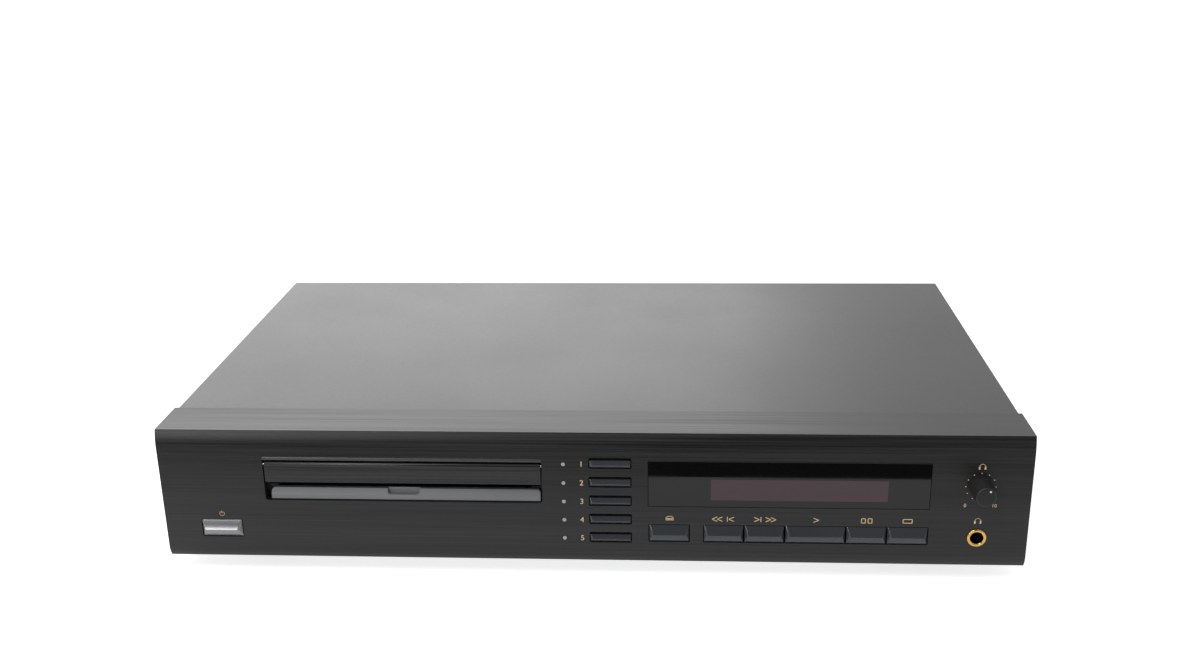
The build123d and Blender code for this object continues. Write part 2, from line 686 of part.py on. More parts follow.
save("front_panel", bored_bosses(front_panel()))
save("tray_trim", tray_trim())
save("tray_door", tray_door())
save("door_pins", *door_pins())
save("tray_lip", tray_lip())
for index in range(DISC_KEY_COUNT):
    save(f"disc_button_{index + 1}", disc_key(index))
save("open_button", wide_key(*OPEN_KEY))
for name, span in zip(TRANSPORT_KEYS, TRANSPORT_SPANS):
    save(name, wide_key(*span))
save("power_button", power_button())
save("power_rod", power_rod())
save("key_switches", *key_switches())
save("indicator_lamps", *indicator_lamps())
save("display_window", display_window())
save("display_tube", display_tube())
save("display_board", front_board(DISPLAY_BOARD_X))
save("phones_board", phones_board())
save("case_screws", *case_screws(), *board_screws())
save("phones_jack", phones_jack())
save("jack_ring", jack_ring())
save("phones_knob", phones_knob())
save("pot_shaft", pot_shaft())
save("level_pot", level_pot())


# Disc mechanism. Across it, positions are given from its middle line.
def on_side(side, low, high):
    """A pair of X limits on one side of the mechanism's middle, -1 for the left."""
    return sorted((MECH_X + side * low, MECH_X + side * high))


def across(low, high):
    return (MECH_X + low, MECH_X + high)


FLOOR_Z = (2.5, 4.3)
WALL_TOP = 47.0
WALL_OUTER = WALL_INNER + WALL_T
GUIDE_IN = 64.0
GUIDE_T = 1.8
GUIDE_END = 164.0
RACK_LINE = TRAY_Z + GEAR_MODULE * ADDENDUM
RACK_ROOT = RACK_LINE + GEAR_MODULE * DEDENDUM
DRIVE_R = GEAR_MODULE * DRIVE_TEETH / 2
PINION_R = GEAR_MODULE * PINION_TEETH / 2
DRIVE_Z = RACK_LINE - DRIVE_R
PINION_TURN = -math.tau / DRIVE_TEETH
PINION_Y = DRIVE_Y + (DRIVE_R + PINION_R) * math.cos(PINION_TURN)
PINION_Z = DRIVE_Z + (DRIVE_R + PINION_R) * math.sin(PINION_TURN)
GEAR_X = (64.0, 67.8)
PULLEY_X = (59.0, 63.4)
PULLEY_FLANGE = 0.5
STUD_R = 1.5
STUD_IN = 58.4
MOTOR_R = 10.0
MOTOR_X = (36.0, 57.0)
MOTOR_Y = 64.0
MOTOR_Z = 15.0
MOTOR_PLATE = (57.2, 58.6)
POST_R = 2.0
POST_TOP = 30.0
POST_PLACES = [(px, py) for px in (-60.0, 24.0) for py in (39.5, 96.5)]
CARRIER_X = (-67.0, 30.0)
CARRIER_Y = (41.0, 95.0)
CARRIER_Z = (19.0, 23.0)
CAGE_PIN_Y = (170.0, 215.0)
CAGE_PIN_Z = CAGE_BOTTOM + 4.0
CAM_IN = WALL_OUTER + CAM_GAP
CAM_OUT = CAM_IN + CAM_T
CAM_Y = (160.0, 245.0)
CAM_Z = (11.0, 42.0)
CAM_TRAVEL = CAGE_TRAVEL / CAM_SLOPE
WEDGE_X = (31.0, 33.0)
WEDGE_TRAVEL = LIFT_TRAVEL / LIFT_SLOPE


def involute_gear(x, y, z, teeth, phase):
    """A spur gear about an axis along X, with a tooth centred on the phase angle from +Y to +Z."""
    pitch_r = GEAR_MODULE * teeth / 2
    base_r = pitch_r * math.cos(math.radians(PRESSURE_ANGLE))
    tip_r = pitch_r + GEAR_MODULE * ADDENDUM
    root_r = pitch_r - GEAR_MODULE * DEDENDUM
    pressure = math.radians(PRESSURE_ANGLE)
    half_pitch = math.pi / (2 * teeth) - GEAR_BACKLASH / (2 * pitch_r) / 2
    flank = []
    steps = 5
    start_r = max(base_r, root_r)
    for step in range(steps + 1):
        radius = start_r + (tip_r - start_r) * step / steps
        angle = math.acos(min(1.0, base_r / radius))
        half = half_pitch + (math.tan(pressure) - pressure) - (math.tan(angle) - angle)
        flank.append((radius, half))
    if root_r < start_r:
        flank.insert(0, (root_r, flank[0][1]))
    points = []
    for tooth in range(teeth):
        centre = phase + math.tau * tooth / teeth
        sides = [(r, centre - a) for r, a in flank] + [(r, centre + a) for r, a in reversed(flank)]
        points += [(r * math.cos(a), r * math.sin(a)) for r, a in sides]
    outline = make_face(Polyline(*points, close=True))
    return Pos(x[0], y, z) * extrude(Plane.YZ * outline, x[1] - x[0])


def rack(x, y, length_teeth):
    """Teeth hanging under a rail, with a gap centred on the drive gear's top."""
    pitch = math.pi * GEAR_MODULE
    slope = math.tan(math.radians(PRESSURE_ANGLE))
    half = pitch / 4 - GEAR_BACKLASH / 4
    tip = half - GEAR_MODULE * ADDENDUM * slope
    root = half + GEAR_MODULE * DEDENDUM * slope
    points = [(y[0], RACK_ROOT + 0.01)]
    for tooth in range(length_teeth):
        centre = DRIVE_Y + pitch * (tooth - 3.5)
        points.append((centre - root, RACK_ROOT))
        points.append((centre - tip, TRAY_Z))
        points.append((centre + tip, TRAY_Z))
        points.append((centre + root, RACK_ROOT))
    points += [(y[1], RACK_ROOT + 0.01), (y[1], RAIL_TOP), (y[0], RAIL_TOP)]
    return side_profile(points, x)


def mechanism_frame():
    y = (MECH_FRONT, MECH_REAR)
    frame = block(across(-WALL_OUTER, WALL_OUTER), (PANEL_FOOT_RETURN + 1, MECH_REAR), FLOOR_Z)
    for side in (-1, 1):
        frame += block(on_side(side, WALL_INNER, WALL_OUTER), y, (FLOOR_Z[0], WALL_TOP))
        ledge_start = MECH_FRONT if side < 0 else DRIVE_Y + DRIVE_R + 5
        ledge_z = (TRAY_Z - FIT - GUIDE_T, TRAY_Z - FIT)
        frame += block(on_side(side, GUIDE_IN, WALL_INNER), (ledge_start, GUIDE_END), ledge_z)
        guide_z = (RAIL_TOP + FIT, RAIL_TOP + FIT + GUIDE_T)
        frame += block(on_side(side, GUIDE_IN, WALL_INNER), (MECH_FRONT, GUIDE_END), guide_z)
        shelf_z = (CAM_Z[0] - FIT - GUIDE_T, CAM_Z[0] - FIT)
        frame += block(on_side(side, WALL_OUTER, CAM_OUT), (CAM_Y[0] - CAM_TRAVEL, MECH_REAR), shelf_z)
        for pin_y in CAGE_PIN_Y:
            half = PIN_R + 0.1
            slot_z = (CAGE_PIN_Z - PIN_R - FIT, CAGE_PIN_Z + CAGE_TRAVEL + PIN_R + FIT)
            frame -= block(on_side(side, WALL_INNER - 1, WALL_OUTER + 1), (pin_y - half, pin_y + half), slot_z)
    for gear_y, gear_z in ((DRIVE_Y, DRIVE_Z), (PINION_Y, PINION_Z)):
        stud_in = STUD_IN if gear_y == PINION_Y else GEAR_X[0] - FIT
        frame += rod_x(across(stud_in, WALL_INNER + 0.5), gear_y, gear_z, STUD_R)
    plate_y = (MOTOR_Y - MOTOR_R - 1, MOTOR_Y + MOTOR_R + 1)
    frame += block(across(*MOTOR_PLATE), plate_y, (FLOOR_Z[1] - 0.5, MOTOR_Z + MOTOR_R + 1))
    frame -= rod_x(across(MOTOR_PLATE[0] - 1, MOTOR_PLATE[1] + 1), MOTOR_Y, MOTOR_Z, 3.1)
    for px, py in POST_PLACES:
        frame += rod_z(MECH_X + px, py, (FLOOR_Z[0], POST_TOP), POST_R)
    for low in (WEDGE_X[0] - FIT - 0.8, WEDGE_X[1] + FIT):
        rib_y = (CARRIER_Y[0] + 5, CARRIER_Y[1] + WEDGE_TRAVEL)
        frame += block(across(low, low + 0.8), rib_y, (FLOOR_Z[0], 8.0))
    for px in (-WALL_OUTER + 6, WALL_OUTER - 6):
        for py in (30.0, MECH_REAR - 20):
            frame += rod_z(MECH_X + px, py, (BASE_T, FLOOR_Z[1]), 4.0)
    return frame


def disc_tray():
    plate_end = 121.0
    plate = block(across(-RAIL_INNER, RAIL_INNER), (LIP_BACK, plate_end), (TRAY_Z, RAIL_TOP - 0.8))
    plate -= rod_z(MECH_X, PLAY_Y, (TRAY_Z + TRAY_FLOOR, RAIL_TOP + 1), DISC_R + 0.8)
    plate -= rod_z(MECH_X, PLAY_Y, (TRAY_Z + TRAY_FLOOR - 0.5, RAIL_TOP + 1), DISC_R - 20)
    slot = TURNTABLE_R + 3
    plate -= rod_z(MECH_X, PLAY_Y, (TRAY_Z - 1, RAIL_TOP + 1), slot)
    plate -= block(across(-slot, slot), (PLAY_Y, plate_end + 1), (TRAY_Z - 1, RAIL_TOP + 1))
    lens_y = (PLAY_Y - 7, PLAY_Y + 7)
    plate -= block(across(-DISC_R - 0.5, 0), lens_y, (TRAY_Z - 1, RAIL_TOP + 1))
    left = block(across(-RAIL_OUTER, -RAIL_INNER), (LIP_BACK, RAIL_END), (TRAY_Z, RAIL_TOP))
    teeth = int((RAIL_END - DRIVE_Y) / (math.pi * GEAR_MODULE)) + 2
    return plate + left + rack(across(RAIL_INNER, RAIL_OUTER), (LIP_BACK, RAIL_END), teeth)


def drive_gear():
    gear = involute_gear(across(*GEAR_X), DRIVE_Y, DRIVE_Z, DRIVE_TEETH, math.pi / 2)
    return gear - rod_x(across(GEAR_X[0] - 1, GEAR_X[1] + 1), DRIVE_Y, DRIVE_Z, STUD_R + RUN)


def pulley(x, y, z, radius):
    """A belt pulley with a flange at each side."""
    wheel = rod_x(x, y, z, radius)
    wheel += rod_x((x[0], x[0] + PULLEY_FLANGE), y, z, radius + BELT_T)
    return wheel + rod_x((x[1] - PULLEY_FLANGE, x[1]), y, z, radius + BELT_T)


def pulley_gear():
    phase = PINION_TURN + math.pi + math.pi / PINION_TEETH
    gear = involute_gear(across(*GEAR_X), PINION_Y, PINION_Z, PINION_TEETH, phase)
    gear += rod_x(across(PULLEY_X[1] - 0.1, GEAR_X[0] + 0.1), PINION_Y, PINION_Z, PINION_R - 2)
    gear += pulley(across(*PULLEY_X), PINION_Y, PINION_Z, PULLEY_R)
    return gear - rod_x(across(PULLEY_X[0] - 1, GEAR_X[1] + 1), PINION_Y, PINION_Z, STUD_R + RUN)


def motor_pulley():
    wheel = pulley(across(*PULLEY_X), MOTOR_Y, MOTOR_Z, MOTOR_PULLEY_R)
    return wheel + rod_x(across(MOTOR_X[1] - 6, PULLEY_X[0] + 0.1), MOTOR_Y, MOTOR_Z, 1.0)


def loading_motor():
    body = rod_x(across(*MOTOR_X), MOTOR_Y, MOTOR_Z, MOTOR_R)
    flats = rod_x(across(MOTOR_X[0] - 1, MOTOR_PLATE[1]), MOTOR_Y, MOTOR_Z, 3.0)
    bore = rod_x(across(MOTOR_X[1] - 6.5, MOTOR_PLATE[1] + 1), MOTOR_Y, MOTOR_Z, 1.0 + RUN)
    return body + flats - bore


def loading_belt():
    inner_a = PULLEY_R + 0.05
    inner_b = MOTOR_PULLEY_R + 0.05
    width = (PULLEY_X[0] + PULLEY_FLANGE + 0.2, PULLEY_X[1] - PULLEY_FLANGE - 0.2)

    def loop(extra):
        spots = ((PINION_Y, PINION_Z, inner_a + extra), (MOTOR_Y, MOTOR_Z, inner_b + extra))
        gap = math.hypot(MOTOR_Y - PINION_Y, MOTOR_Z - PINION_Z)
        lean = math.atan2(MOTOR_Z - PINION_Z, MOTOR_Y - PINION_Y)
        spread = math.acos((spots[0][2] - spots[1][2]) / gap)
        points = []
        for y, z, radius in spots:
            points.append((y + radius * math.cos(lean + spread), z + radius * math.sin(lean + spread)))
            points.append((y + radius * math.cos(lean - spread), z + radius * math.sin(lean - spread)))
        middle = side_profile([points[0], points[1], points[3], points[2]], across(*width))
        for y, z, radius in spots:
            middle += rod_x(across(*width), y, z, radius)
        return middle

    return loop(BELT_T - 0.2) - loop(0)


save("mechanism_frame", mechanism_frame())
save("disc_tray", disc_tray())
save("drive_gear", drive_gear())
save("pulley_gear", pulley_gear())
save("motor_pulley", motor_pulley())
save("loading_motor", loading_motor())
save("loading_belt", loading_belt())


# The clamp above the disc
BRIDGE_T = 2.0
BRIDGE_Y = (PLAY_Y - 17, PLAY_Y + 17)
BRIDGE_HALF = 60.0
CLAMP_NECK_R = 9.0
CLAMP_FLANGE_R = 12.5
CLAMP_FACE = 37.4


def clamp_bridge():
    step = BRIDGE_T
    plate = block(across(-BRIDGE_HALF, BRIDGE_HALF), BRIDGE_Y, (BRIDGE_Z, BRIDGE_Z + BRIDGE_T))
    for side in (-1, 1):
        riser = sorted((MECH_X + side * BRIDGE_HALF, MECH_X + side * (BRIDGE_HALF - step)))
        plate += block(riser, BRIDGE_Y, (BRIDGE_Z, WALL_TOP + BRIDGE_T))
        tab = sorted((MECH_X + side * WALL_OUTER, MECH_X + side * (BRIDGE_HALF - step)))
        plate += block(tab, BRIDGE_Y, (WALL_TOP, WALL_TOP + BRIDGE_T))
    return plate - rod_z(MECH_X, PLAY_Y, (BRIDGE_Z - 1, BRIDGE_Z + 3), CLAMP_NECK_R + FIT)


def clamper():
    seat = BRIDGE_Z + BRIDGE_T + 0.1
    top = rod_z(MECH_X, PLAY_Y, (seat, seat + 1.5), CLAMP_FLANGE_R)
    neck = rod_z(MECH_X, PLAY_Y, (CLAMP_FACE + 1, seat + 1), CLAMP_NECK_R)
    face = rod_z(MECH_X, PLAY_Y, (CLAMP_FACE, BRIDGE_Z - 0.8), CLAMPER_R)
    pocket = rod_z(MECH_X, PLAY_Y, (CLAMP_FACE - 1, CLAMP_FACE + 3), CONE_R + 1)
    return top + neck + face - pocket


# The carrier that lifts the turntable and the pickup to the disc
ROD_Z = sum(CARRIER_Z) / 2
ROD_Y = (51.0, 77.0)
ROD_END_X = (-66.0, -9.5)
SLED_WINDOW_X = (-65.0, -12.0)
SLED_WINDOW_Y = (46.0, 90.6)
SLED_HALF_X = 6.5
SLED_Y = (SLED_WINDOW_Y[0] + 0.6, SLED_WINDOW_Y[1] - 0.6)
SLED_Z = (17.5, 24.5)
SLED_START = -24.0
SLED_TRAVEL = 33.5
LENS_R = 3.6
LENS_TOP = 28.2
LEAD_Y = 86.0
LEAD_R = 1.5
LEAD_MOTOR_R = 5.8
LEAD_MOTOR_X = (-7.5, 10.0)
SPINDLE_MOTOR_R = 12.0
SPINDLE_MOTOR_Z = (9.0, CARRIER_Z[0])
FOLLOWER_R = 1.5


def carrier_base():
    base = block(across(*CARRIER_X), CARRIER_Y, CARRIER_Z)
    base -= block(across(*SLED_WINDOW_X), SLED_WINDOW_Y, (0, 30))
    pocket_y = (LEAD_Y - LEAD_MOTOR_R - 0.05, LEAD_Y + LEAD_MOTOR_R + 0.05)
    base -= block(across(LEAD_MOTOR_X[0], LEAD_MOTOR_X[1] + FIT), pocket_y, (0, 30))
    base -= rod_z(MECH_X, PLAY_Y, (0, 30), 3.5)
    for rod_y_place in ROD_Y:
        base -= rod_x(across(*ROD_END_X), rod_y_place, ROD_Z, LEAD_R + 0.02)
    base -= rod_x(across(ROD_END_X[0], LEAD_MOTOR_X[0] + 1), LEAD_Y, ROD_Z, LEAD_R + RUN)
    for px, py in POST_PLACES:
        base += rod_z(MECH_X + px, py, CARRIER_Z, POST_R + 2.5)
    for px, py in POST_PLACES:
        base -= rod_z(MECH_X + px, py, (0, 30), POST_R + RUN)
    return base + rod_x(across(CARRIER_X[1] - 1, WEDGE_X[1] + FIT), PLAY_Y, ROD_Z, FOLLOWER_R)


def traverse_motors():
    spindle = rod_z(MECH_X, PLAY_Y, SPINDLE_MOTOR_Z, SPINDLE_MOTOR_R)
    spindle -= rod_z(MECH_X, PLAY_Y, (SPINDLE_MOTOR_Z[0] + 1, 30), SPINDLE_R + RUN)
    lead = rod_x(across(*LEAD_MOTOR_X), LEAD_Y, ROD_Z, LEAD_MOTOR_R)
    lead -= rod_x(across(LEAD_MOTOR_X[0] - 1, LEAD_MOTOR_X[0] + 7), LEAD_Y, ROD_Z, 1.0 + RUN)
    return [spindle, lead]


def turntable():
    seat = rod_z(MECH_X, PLAY_Y, (SEAT_Z - 1.6, SEAT_Z), TURNTABLE_R)
    cone = Pos(MECH_X, PLAY_Y, SEAT_Z + CONE_H / 2) * Cone(CONE_R, CONE_R - 1.2, CONE_H)
    hub = rod_z(MECH_X, PLAY_Y, (CARRIER_Z[1] + 1, SEAT_Z - 1), 4.0)
    shaft = rod_z(MECH_X, PLAY_Y, (SPINDLE_MOTOR_Z[0] + 1 + FIT, SEAT_Z), SPINDLE_R)
    return seat + cone + hub + shaft


def guide_rods():
    return [rod_x(across(ROD_END_X[0] + 0.1, ROD_END_X[1] - 0.1), y, ROD_Z, LEAD_R) for y in ROD_Y]


def lead_screw():
    thread = rod_x(across(ROD_END_X[0] + 0.1, LEAD_MOTOR_X[0] - 0.2), LEAD_Y, ROD_Z, LEAD_R)
    return thread + rod_x(across(LEAD_MOTOR_X[0] - 0.3, LEAD_MOTOR_X[0] + 6.7), LEAD_Y, ROD_Z, 1.0)


def pickup():
    x = across(SLED_START - SLED_HALF_X, SLED_START + SLED_HALF_X)
    sled = block(x, SLED_Y, SLED_Z)
    lens_x = MECH_X + SLED_START
    sled += block((lens_x - 5.5, lens_x + 5.5), (PLAY_Y - 9, PLAY_Y + 9), (SLED_Z[1] - 1, LENS_TOP - 1.6))
    for y in ROD_Y:
        sled -= rod_x(across(-80, 0), y, ROD_Z, LEAD_R + RUN)
    sled -= rod_x(across(-80, 0), LEAD_Y, ROD_Z, LEAD_R + RUN)
    return sled + rod_z(lens_x, PLAY_Y, (LENS_TOP - 2, LENS_TOP), LENS_R)


def slanted_slot(x, start, run, rise, radius):
    """A round-ended cutter along a sloping line, through a plate between two X limits."""
    length = math.hypot(run, rise)
    normal = (-rise / length * radius, run / length * radius)
    (y, z) = start
    corners = [
        (y + normal[0], z + normal[1]),
        (y + run + normal[0], z + rise + normal[1]),
        (y + run - normal[0], z + rise - normal[1]),
        (y - normal[0], z - normal[1]),
    ]
    cutter = side_profile(corners, x)
    return cutter + rod_x(x, y, z, radius) + rod_x(x, y + run, z + rise, radius)


def lift_wedge():
    x = across(*WEDGE_X)
    plate = block(x, (PLAY_Y - WEDGE_TRAVEL - 6, PLAY_Y + 8), (FLOOR_Z[1] + FIT, ROD_Z + LIFT_TRAVEL + 4))
    cut_x = across(WEDGE_X[0] - 1, WEDGE_X[1] + 1)
    slot = slanted_slot(cut_x, (PLAY_Y, ROD_Z), -WEDGE_TRAVEL, LIFT_TRAVEL, FOLLOWER_R + 0.1)
    return plate - slot


# The stack of shelves and the cams that raise it
SHELF_INNER = CAGE_HALF - CAGE_WALL - SHELF_W
CAGE_Y = (124.5, STORE_Y + DISC_R + 2.0)
CAGE_TOP = CAGE_BOTTOM + SHELVES * SHELF_PITCH + 2 * 1.2


def stocker_cage():
    z = (CAGE_BOTTOM, CAGE_TOP)
    cage = block(across(-CAGE_HALF, CAGE_HALF), (CAGE_Y[1] - CAGE_WALL, CAGE_Y[1]), z)
    for side in (-1, 1):
        cage += block(on_side(side, CAGE_HALF - CAGE_WALL, CAGE_HALF), CAGE_Y, z)
        for shelf in range(SHELVES + 1):
            low = CAGE_BOTTOM + shelf * SHELF_PITCH
            shelf_x = on_side(side, SHELF_INNER, CAGE_HALF - 0.5)
            cage += block(shelf_x, CAGE_Y, (low, low + SHELF_T))
        for pin_y in CAGE_PIN_Y:
            cage += rod_x(on_side(side, CAGE_HALF - 1, CAM_OUT + FIT), pin_y, CAGE_PIN_Z, PIN_R)
    for level in (z[0], z[1] - 1.2):
        for bar_y in (CAGE_Y[0] + 8, CAGE_Y[1] - 12):
            width = (bar_y - 6, bar_y + 6)
            cage += block(across(-CAGE_HALF + 1, CAGE_HALF - 1), width, (level, level + 1.2))
    return cage


def lift_cams():
    cams = []
    for side in (-1, 1):
        x = sorted((MECH_X + side * CAM_IN, MECH_X + side * CAM_OUT))
        plate = block(x, CAM_Y, CAM_Z)
        for pin_y in CAGE_PIN_Y:
            cut_x = (x[0] - 1, x[1] + 1)
            plate -= slanted_slot(cut_x, (pin_y, CAGE_PIN_Z), CAM_TRAVEL, CAGE_TRAVEL, PIN_R + 0.1)
        cams.append(plate)
    return cams


# Electrics
BOARD_Z = 9.0
MAIN_X = (-5.0, HALF_W - 10.0)
MAIN_Y = (62.0, BODY_DEPTH - 16.0)
POWER_X_SPAN = (-HALF_W + 7.0, -HALF_W + 44.0)
POWER_Y_SPAN = (32.0, 68.0)
POWER_BOARD_Z = KEY_MIDDLE - SWITCH_BODY_W / 2 - BOARD_T
CORE_Y = (84.0, 126.0)
CORE_Z = (BASE_T, 46.0)
CHIP_PLACES = [(30, 110, 14, 14), (70, 130, 20, 12), (120, 105, 11, 18), (60, 180, 16, 10), (150, 150, 12, 12)]
CAPACITORS = [(20, 205, 5, 16), (36, 205, 5, 16), (150, 205, 8, 25), (172, 205, 8, 25), (185, 170, 6, 20)]
HEAT_SINK = (95.0, 160.0)
FUSE_X = POWER_X_SPAN[0] + 4.0


def stand_offs():
    spots = [(x, y) for x in (MAIN_X[0] + 5, MAIN_X[1] - 5) for y in (MAIN_Y[0] + 5, MAIN_Y[1] - 5)]
    posts = [rod_z(x, y, (0.2, BOARD_Z), 3.0) for x, y in spots]
    power = [(x, y) for x in (POWER_X_SPAN[0] + 4, POWER_X_SPAN[1] - 4) for y in (POWER_Y_SPAN[0] + 4, POWER_Y_SPAN[1] - 4)]
    return posts + [rod_z(x, y, (0.2, POWER_BOARD_Z), 2.5) for x, y in power]


def main_board():
    top = BOARD_Z + BOARD_T
    pieces = [block(MAIN_X, MAIN_Y, (BOARD_Z, top))]
    for x, y, w, d in CHIP_PLACES:
        pieces.append(block((x - w / 2, x + w / 2), (y - d / 2, y + d / 2), (top, top + 2.4)))
    for x, y, radius, height in CAPACITORS:
        can = rod_z(x, y, (top, top + height), radius)
        pieces.append(fillet(can.edges().group_by(Axis.Z)[-1], 0.6))
    sx, sy = HEAT_SINK
    sink = block((sx - 18, sx + 18), (sy - 2, sy + 2), (top, top + 30))
    for fin in range(7):
        fin_x = sx - 18 + fin * 6
        sink += block((fin_x - 0.01, fin_x + 1.2), (sy - 2, sy + 9), (top, top + 30))
    pieces.append(sink)
    return pieces


def transformer():
    x = POWER_X_SPAN
    core = block(x, (CORE_Y[0] + 12, CORE_Y[1] - 12), CORE_Z)
    coil = block((x[0] + 6, x[1] - 6), CORE_Y, (CORE_Z[0] + 7, CORE_Z[1] - 7))
    coil = fillet(coil.edges().filter_by(Axis.Z), 4)
    return core + coil


def power_board():
    top = POWER_BOARD_Z + BOARD_T
    board = block(POWER_X_SPAN, POWER_Y_SPAN, (POWER_BOARD_Z, top))
    fuse = rod_y(FUSE_X, (38.0, 58.0), top + 3, 2.6)
    for clip_y in (38.0, 55.0):
        fuse += block((FUSE_X - 2, FUSE_X + 2), (clip_y, clip_y + 3), (top, top + 4))
    return [board, fuse]


def power_switch():
    half = SWITCH_BODY_W / 2
    z = (KEY_MIDDLE - half, KEY_MIDDLE + half)
    body = block((POWER_X - half, POWER_X + half), SWITCH_BODY_Y, z)
    hole = ACTUATOR_SIDE / 2 + 0.1
    y = (SWITCH_BODY_Y[0] - 1, SWITCH_BODY_Y[0] + ACTUATOR_DEPTH)
    return body - block((POWER_X - hole, POWER_X + hole), y, (KEY_MIDDLE - hole, KEY_MIDDLE + hole))


def rear_jacks():
    pieces = []
    back = REAR_Y[0]
    for px in PHONO_X:
        jack = block((px - 8, px + 8), (back - 12, back), (PHONO_Z[0] - 9, PHONO_Z[1] + 9))
        for pz in PHONO_Z:
            jack += rod_y(px, (back - 2, REAR_Y[1] + PHONO_COLLAR), pz, PHONO_R + 0.4)
            jack += rod_y(px, (back - 2, BODY_DEPTH + JACK_STANDOUT), pz, PHONO_R)
            jack -= rod_y(px, (BODY_DEPTH, BODY_DEPTH + JACK_STANDOUT + 1), pz, 1.6)
        pieces.append(jack)
    half = OPTICAL_SIDE / 2
    optical = block((OPTICAL_X - half, OPTICAL_X + half), (back - 14, REAR_Y[1] + 2), (OPTICAL_Z - half, OPTICAL_Z + half))
    optical -= block((OPTICAL_X - 3, OPTICAL_X + 3), (back - 4, REAR_Y[1] + 3), (OPTICAL_Z - 3, OPTICAL_Z + 3))
    pieces.append(optical)
    return pieces


def mains_inlet():
    z = (INLET_Z - INLET_H / 2, INLET_Z + INLET_H / 2)
    body = block((INLET_X - INLET_W / 2, INLET_X + INLET_W / 2), (REAR_Y[0] - 18, REAR_Y[1] + 1), z)
    body += block((INLET_X - INLET_W / 2 - 3, INLET_X + INLET_W / 2 + 3), (REAR_Y[1], REAR_Y[1] + 1.6), (z[0] - 3, z[1] + 3))
    mouth = (REAR_Y[1] - 12, REAR_Y[1] + 3)
    body -= lens(INLET_X, mouth, INLET_Z, INLET_MOUTH_R, 2 * INLET_PIN_X)
    for px in (-INLET_PIN_X, INLET_PIN_X):
        body += rod_y(INLET_X + px, (REAR_Y[1] - 13, REAR_Y[1] - 1), INLET_Z, INLET_PIN_R)
    return body


def flat_cables():
    """Ribbon from the front boards down to the main board."""
    ribbons = []
    top = BOARD_Z + BOARD_T
    for x in ((LIT_X - 13.0, LIT_X + 13.0), (KNOB_X - 7.4, KNOB_X + 6.6)):
        start = 34.0
        outline = [
            (BOARD_Y + BOARD_T, start),
            (34.0, start),
            (66.0, top + 3),
            (66.0, top),
            (66.8, top),
            (66.8, top + 3.4),
            (34.4, start + 0.8),
            (BOARD_Y + BOARD_T, start + 0.8),
        ]
        ribbons.append(side_profile(outline, x))
    return ribbons


base_with_posts = chassis_base()
for post in stand_offs():
    base_with_posts += post
save("chassis_base", base_with_posts)
save("clamp_bridge", clamp_bridge())
save("clamper", clamper())
save("carrier_base", carrier_base())
save("traverse_motors", *traverse_motors())
save("turntable", turntable())
save("guide_rods", *guide_rods())
save("lead_screw", lead_screw())
save("pickup", pickup())
save("lift_wedge", lift_wedge())
save("stocker_cage", stocker_cage())
save("lift_cams", *lift_cams())
save("main_board", *main_board())
save("transformer", transformer())
save("power_board", *power_board())
save("power_switch", power_switch())
save("rear_jacks", *rear_jacks())
save("mains_inlet", mains_inlet())
save("flat_cables", *flat_cables())
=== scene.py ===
import math

import bmesh
import bpy
from mathutils import Matrix, Vector
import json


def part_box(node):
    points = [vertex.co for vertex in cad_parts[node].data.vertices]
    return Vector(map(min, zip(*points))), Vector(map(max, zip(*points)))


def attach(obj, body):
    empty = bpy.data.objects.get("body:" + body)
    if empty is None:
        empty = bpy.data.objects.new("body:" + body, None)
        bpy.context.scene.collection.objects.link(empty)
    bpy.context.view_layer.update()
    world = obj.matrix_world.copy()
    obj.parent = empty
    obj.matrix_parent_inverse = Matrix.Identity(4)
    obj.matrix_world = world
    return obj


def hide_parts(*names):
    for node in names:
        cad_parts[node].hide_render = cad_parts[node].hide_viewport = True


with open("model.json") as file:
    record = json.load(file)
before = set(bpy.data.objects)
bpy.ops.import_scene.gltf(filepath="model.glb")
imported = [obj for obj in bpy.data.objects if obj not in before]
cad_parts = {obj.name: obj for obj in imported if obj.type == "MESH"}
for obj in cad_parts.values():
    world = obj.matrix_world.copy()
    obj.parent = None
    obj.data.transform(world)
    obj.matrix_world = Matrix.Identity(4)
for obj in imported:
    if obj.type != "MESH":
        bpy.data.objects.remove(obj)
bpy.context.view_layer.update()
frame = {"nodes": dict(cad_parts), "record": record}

# Front panel: a thick aluminium extrusion with a rolled top edge, milled openings and a
# hairline brushing along its width, then anodised black. The brushing was put on before the
# openings were cut, so it runs straight past them.
FACE_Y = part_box("front_panel")[0].y
PANEL_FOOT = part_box("front_panel")[0].z
MM = 0.001


class Wire:
    """An output of a shader node. Python's operators join wires through Math nodes."""

    def __init__(self, finish, socket):
        self.finish = finish
        self.socket = socket

    def math(self, operation, *values):
        return self.finish.node("ShaderNodeMath", {"operation": operation}, dict(enumerate(values)))

    def __add__(self, other):
        return self.math("ADD", self, other)

    __radd__ = __add__

    def __sub__(self, other):
        return self.math("SUBTRACT", self, other)

    def __rsub__(self, other):
        return self.math("SUBTRACT", other, self)

    def __mul__(self, other):
        return self.math("MULTIPLY", self, other)

    __rmul__ = __mul__

    def __gt__(self, other):
        return self.math("GREATER_THAN", self, other)

    def __lt__(self, other):
        return self.math("LESS_THAN", self, other)

    def __abs__(self):
        return self.math("ABSOLUTE", self)


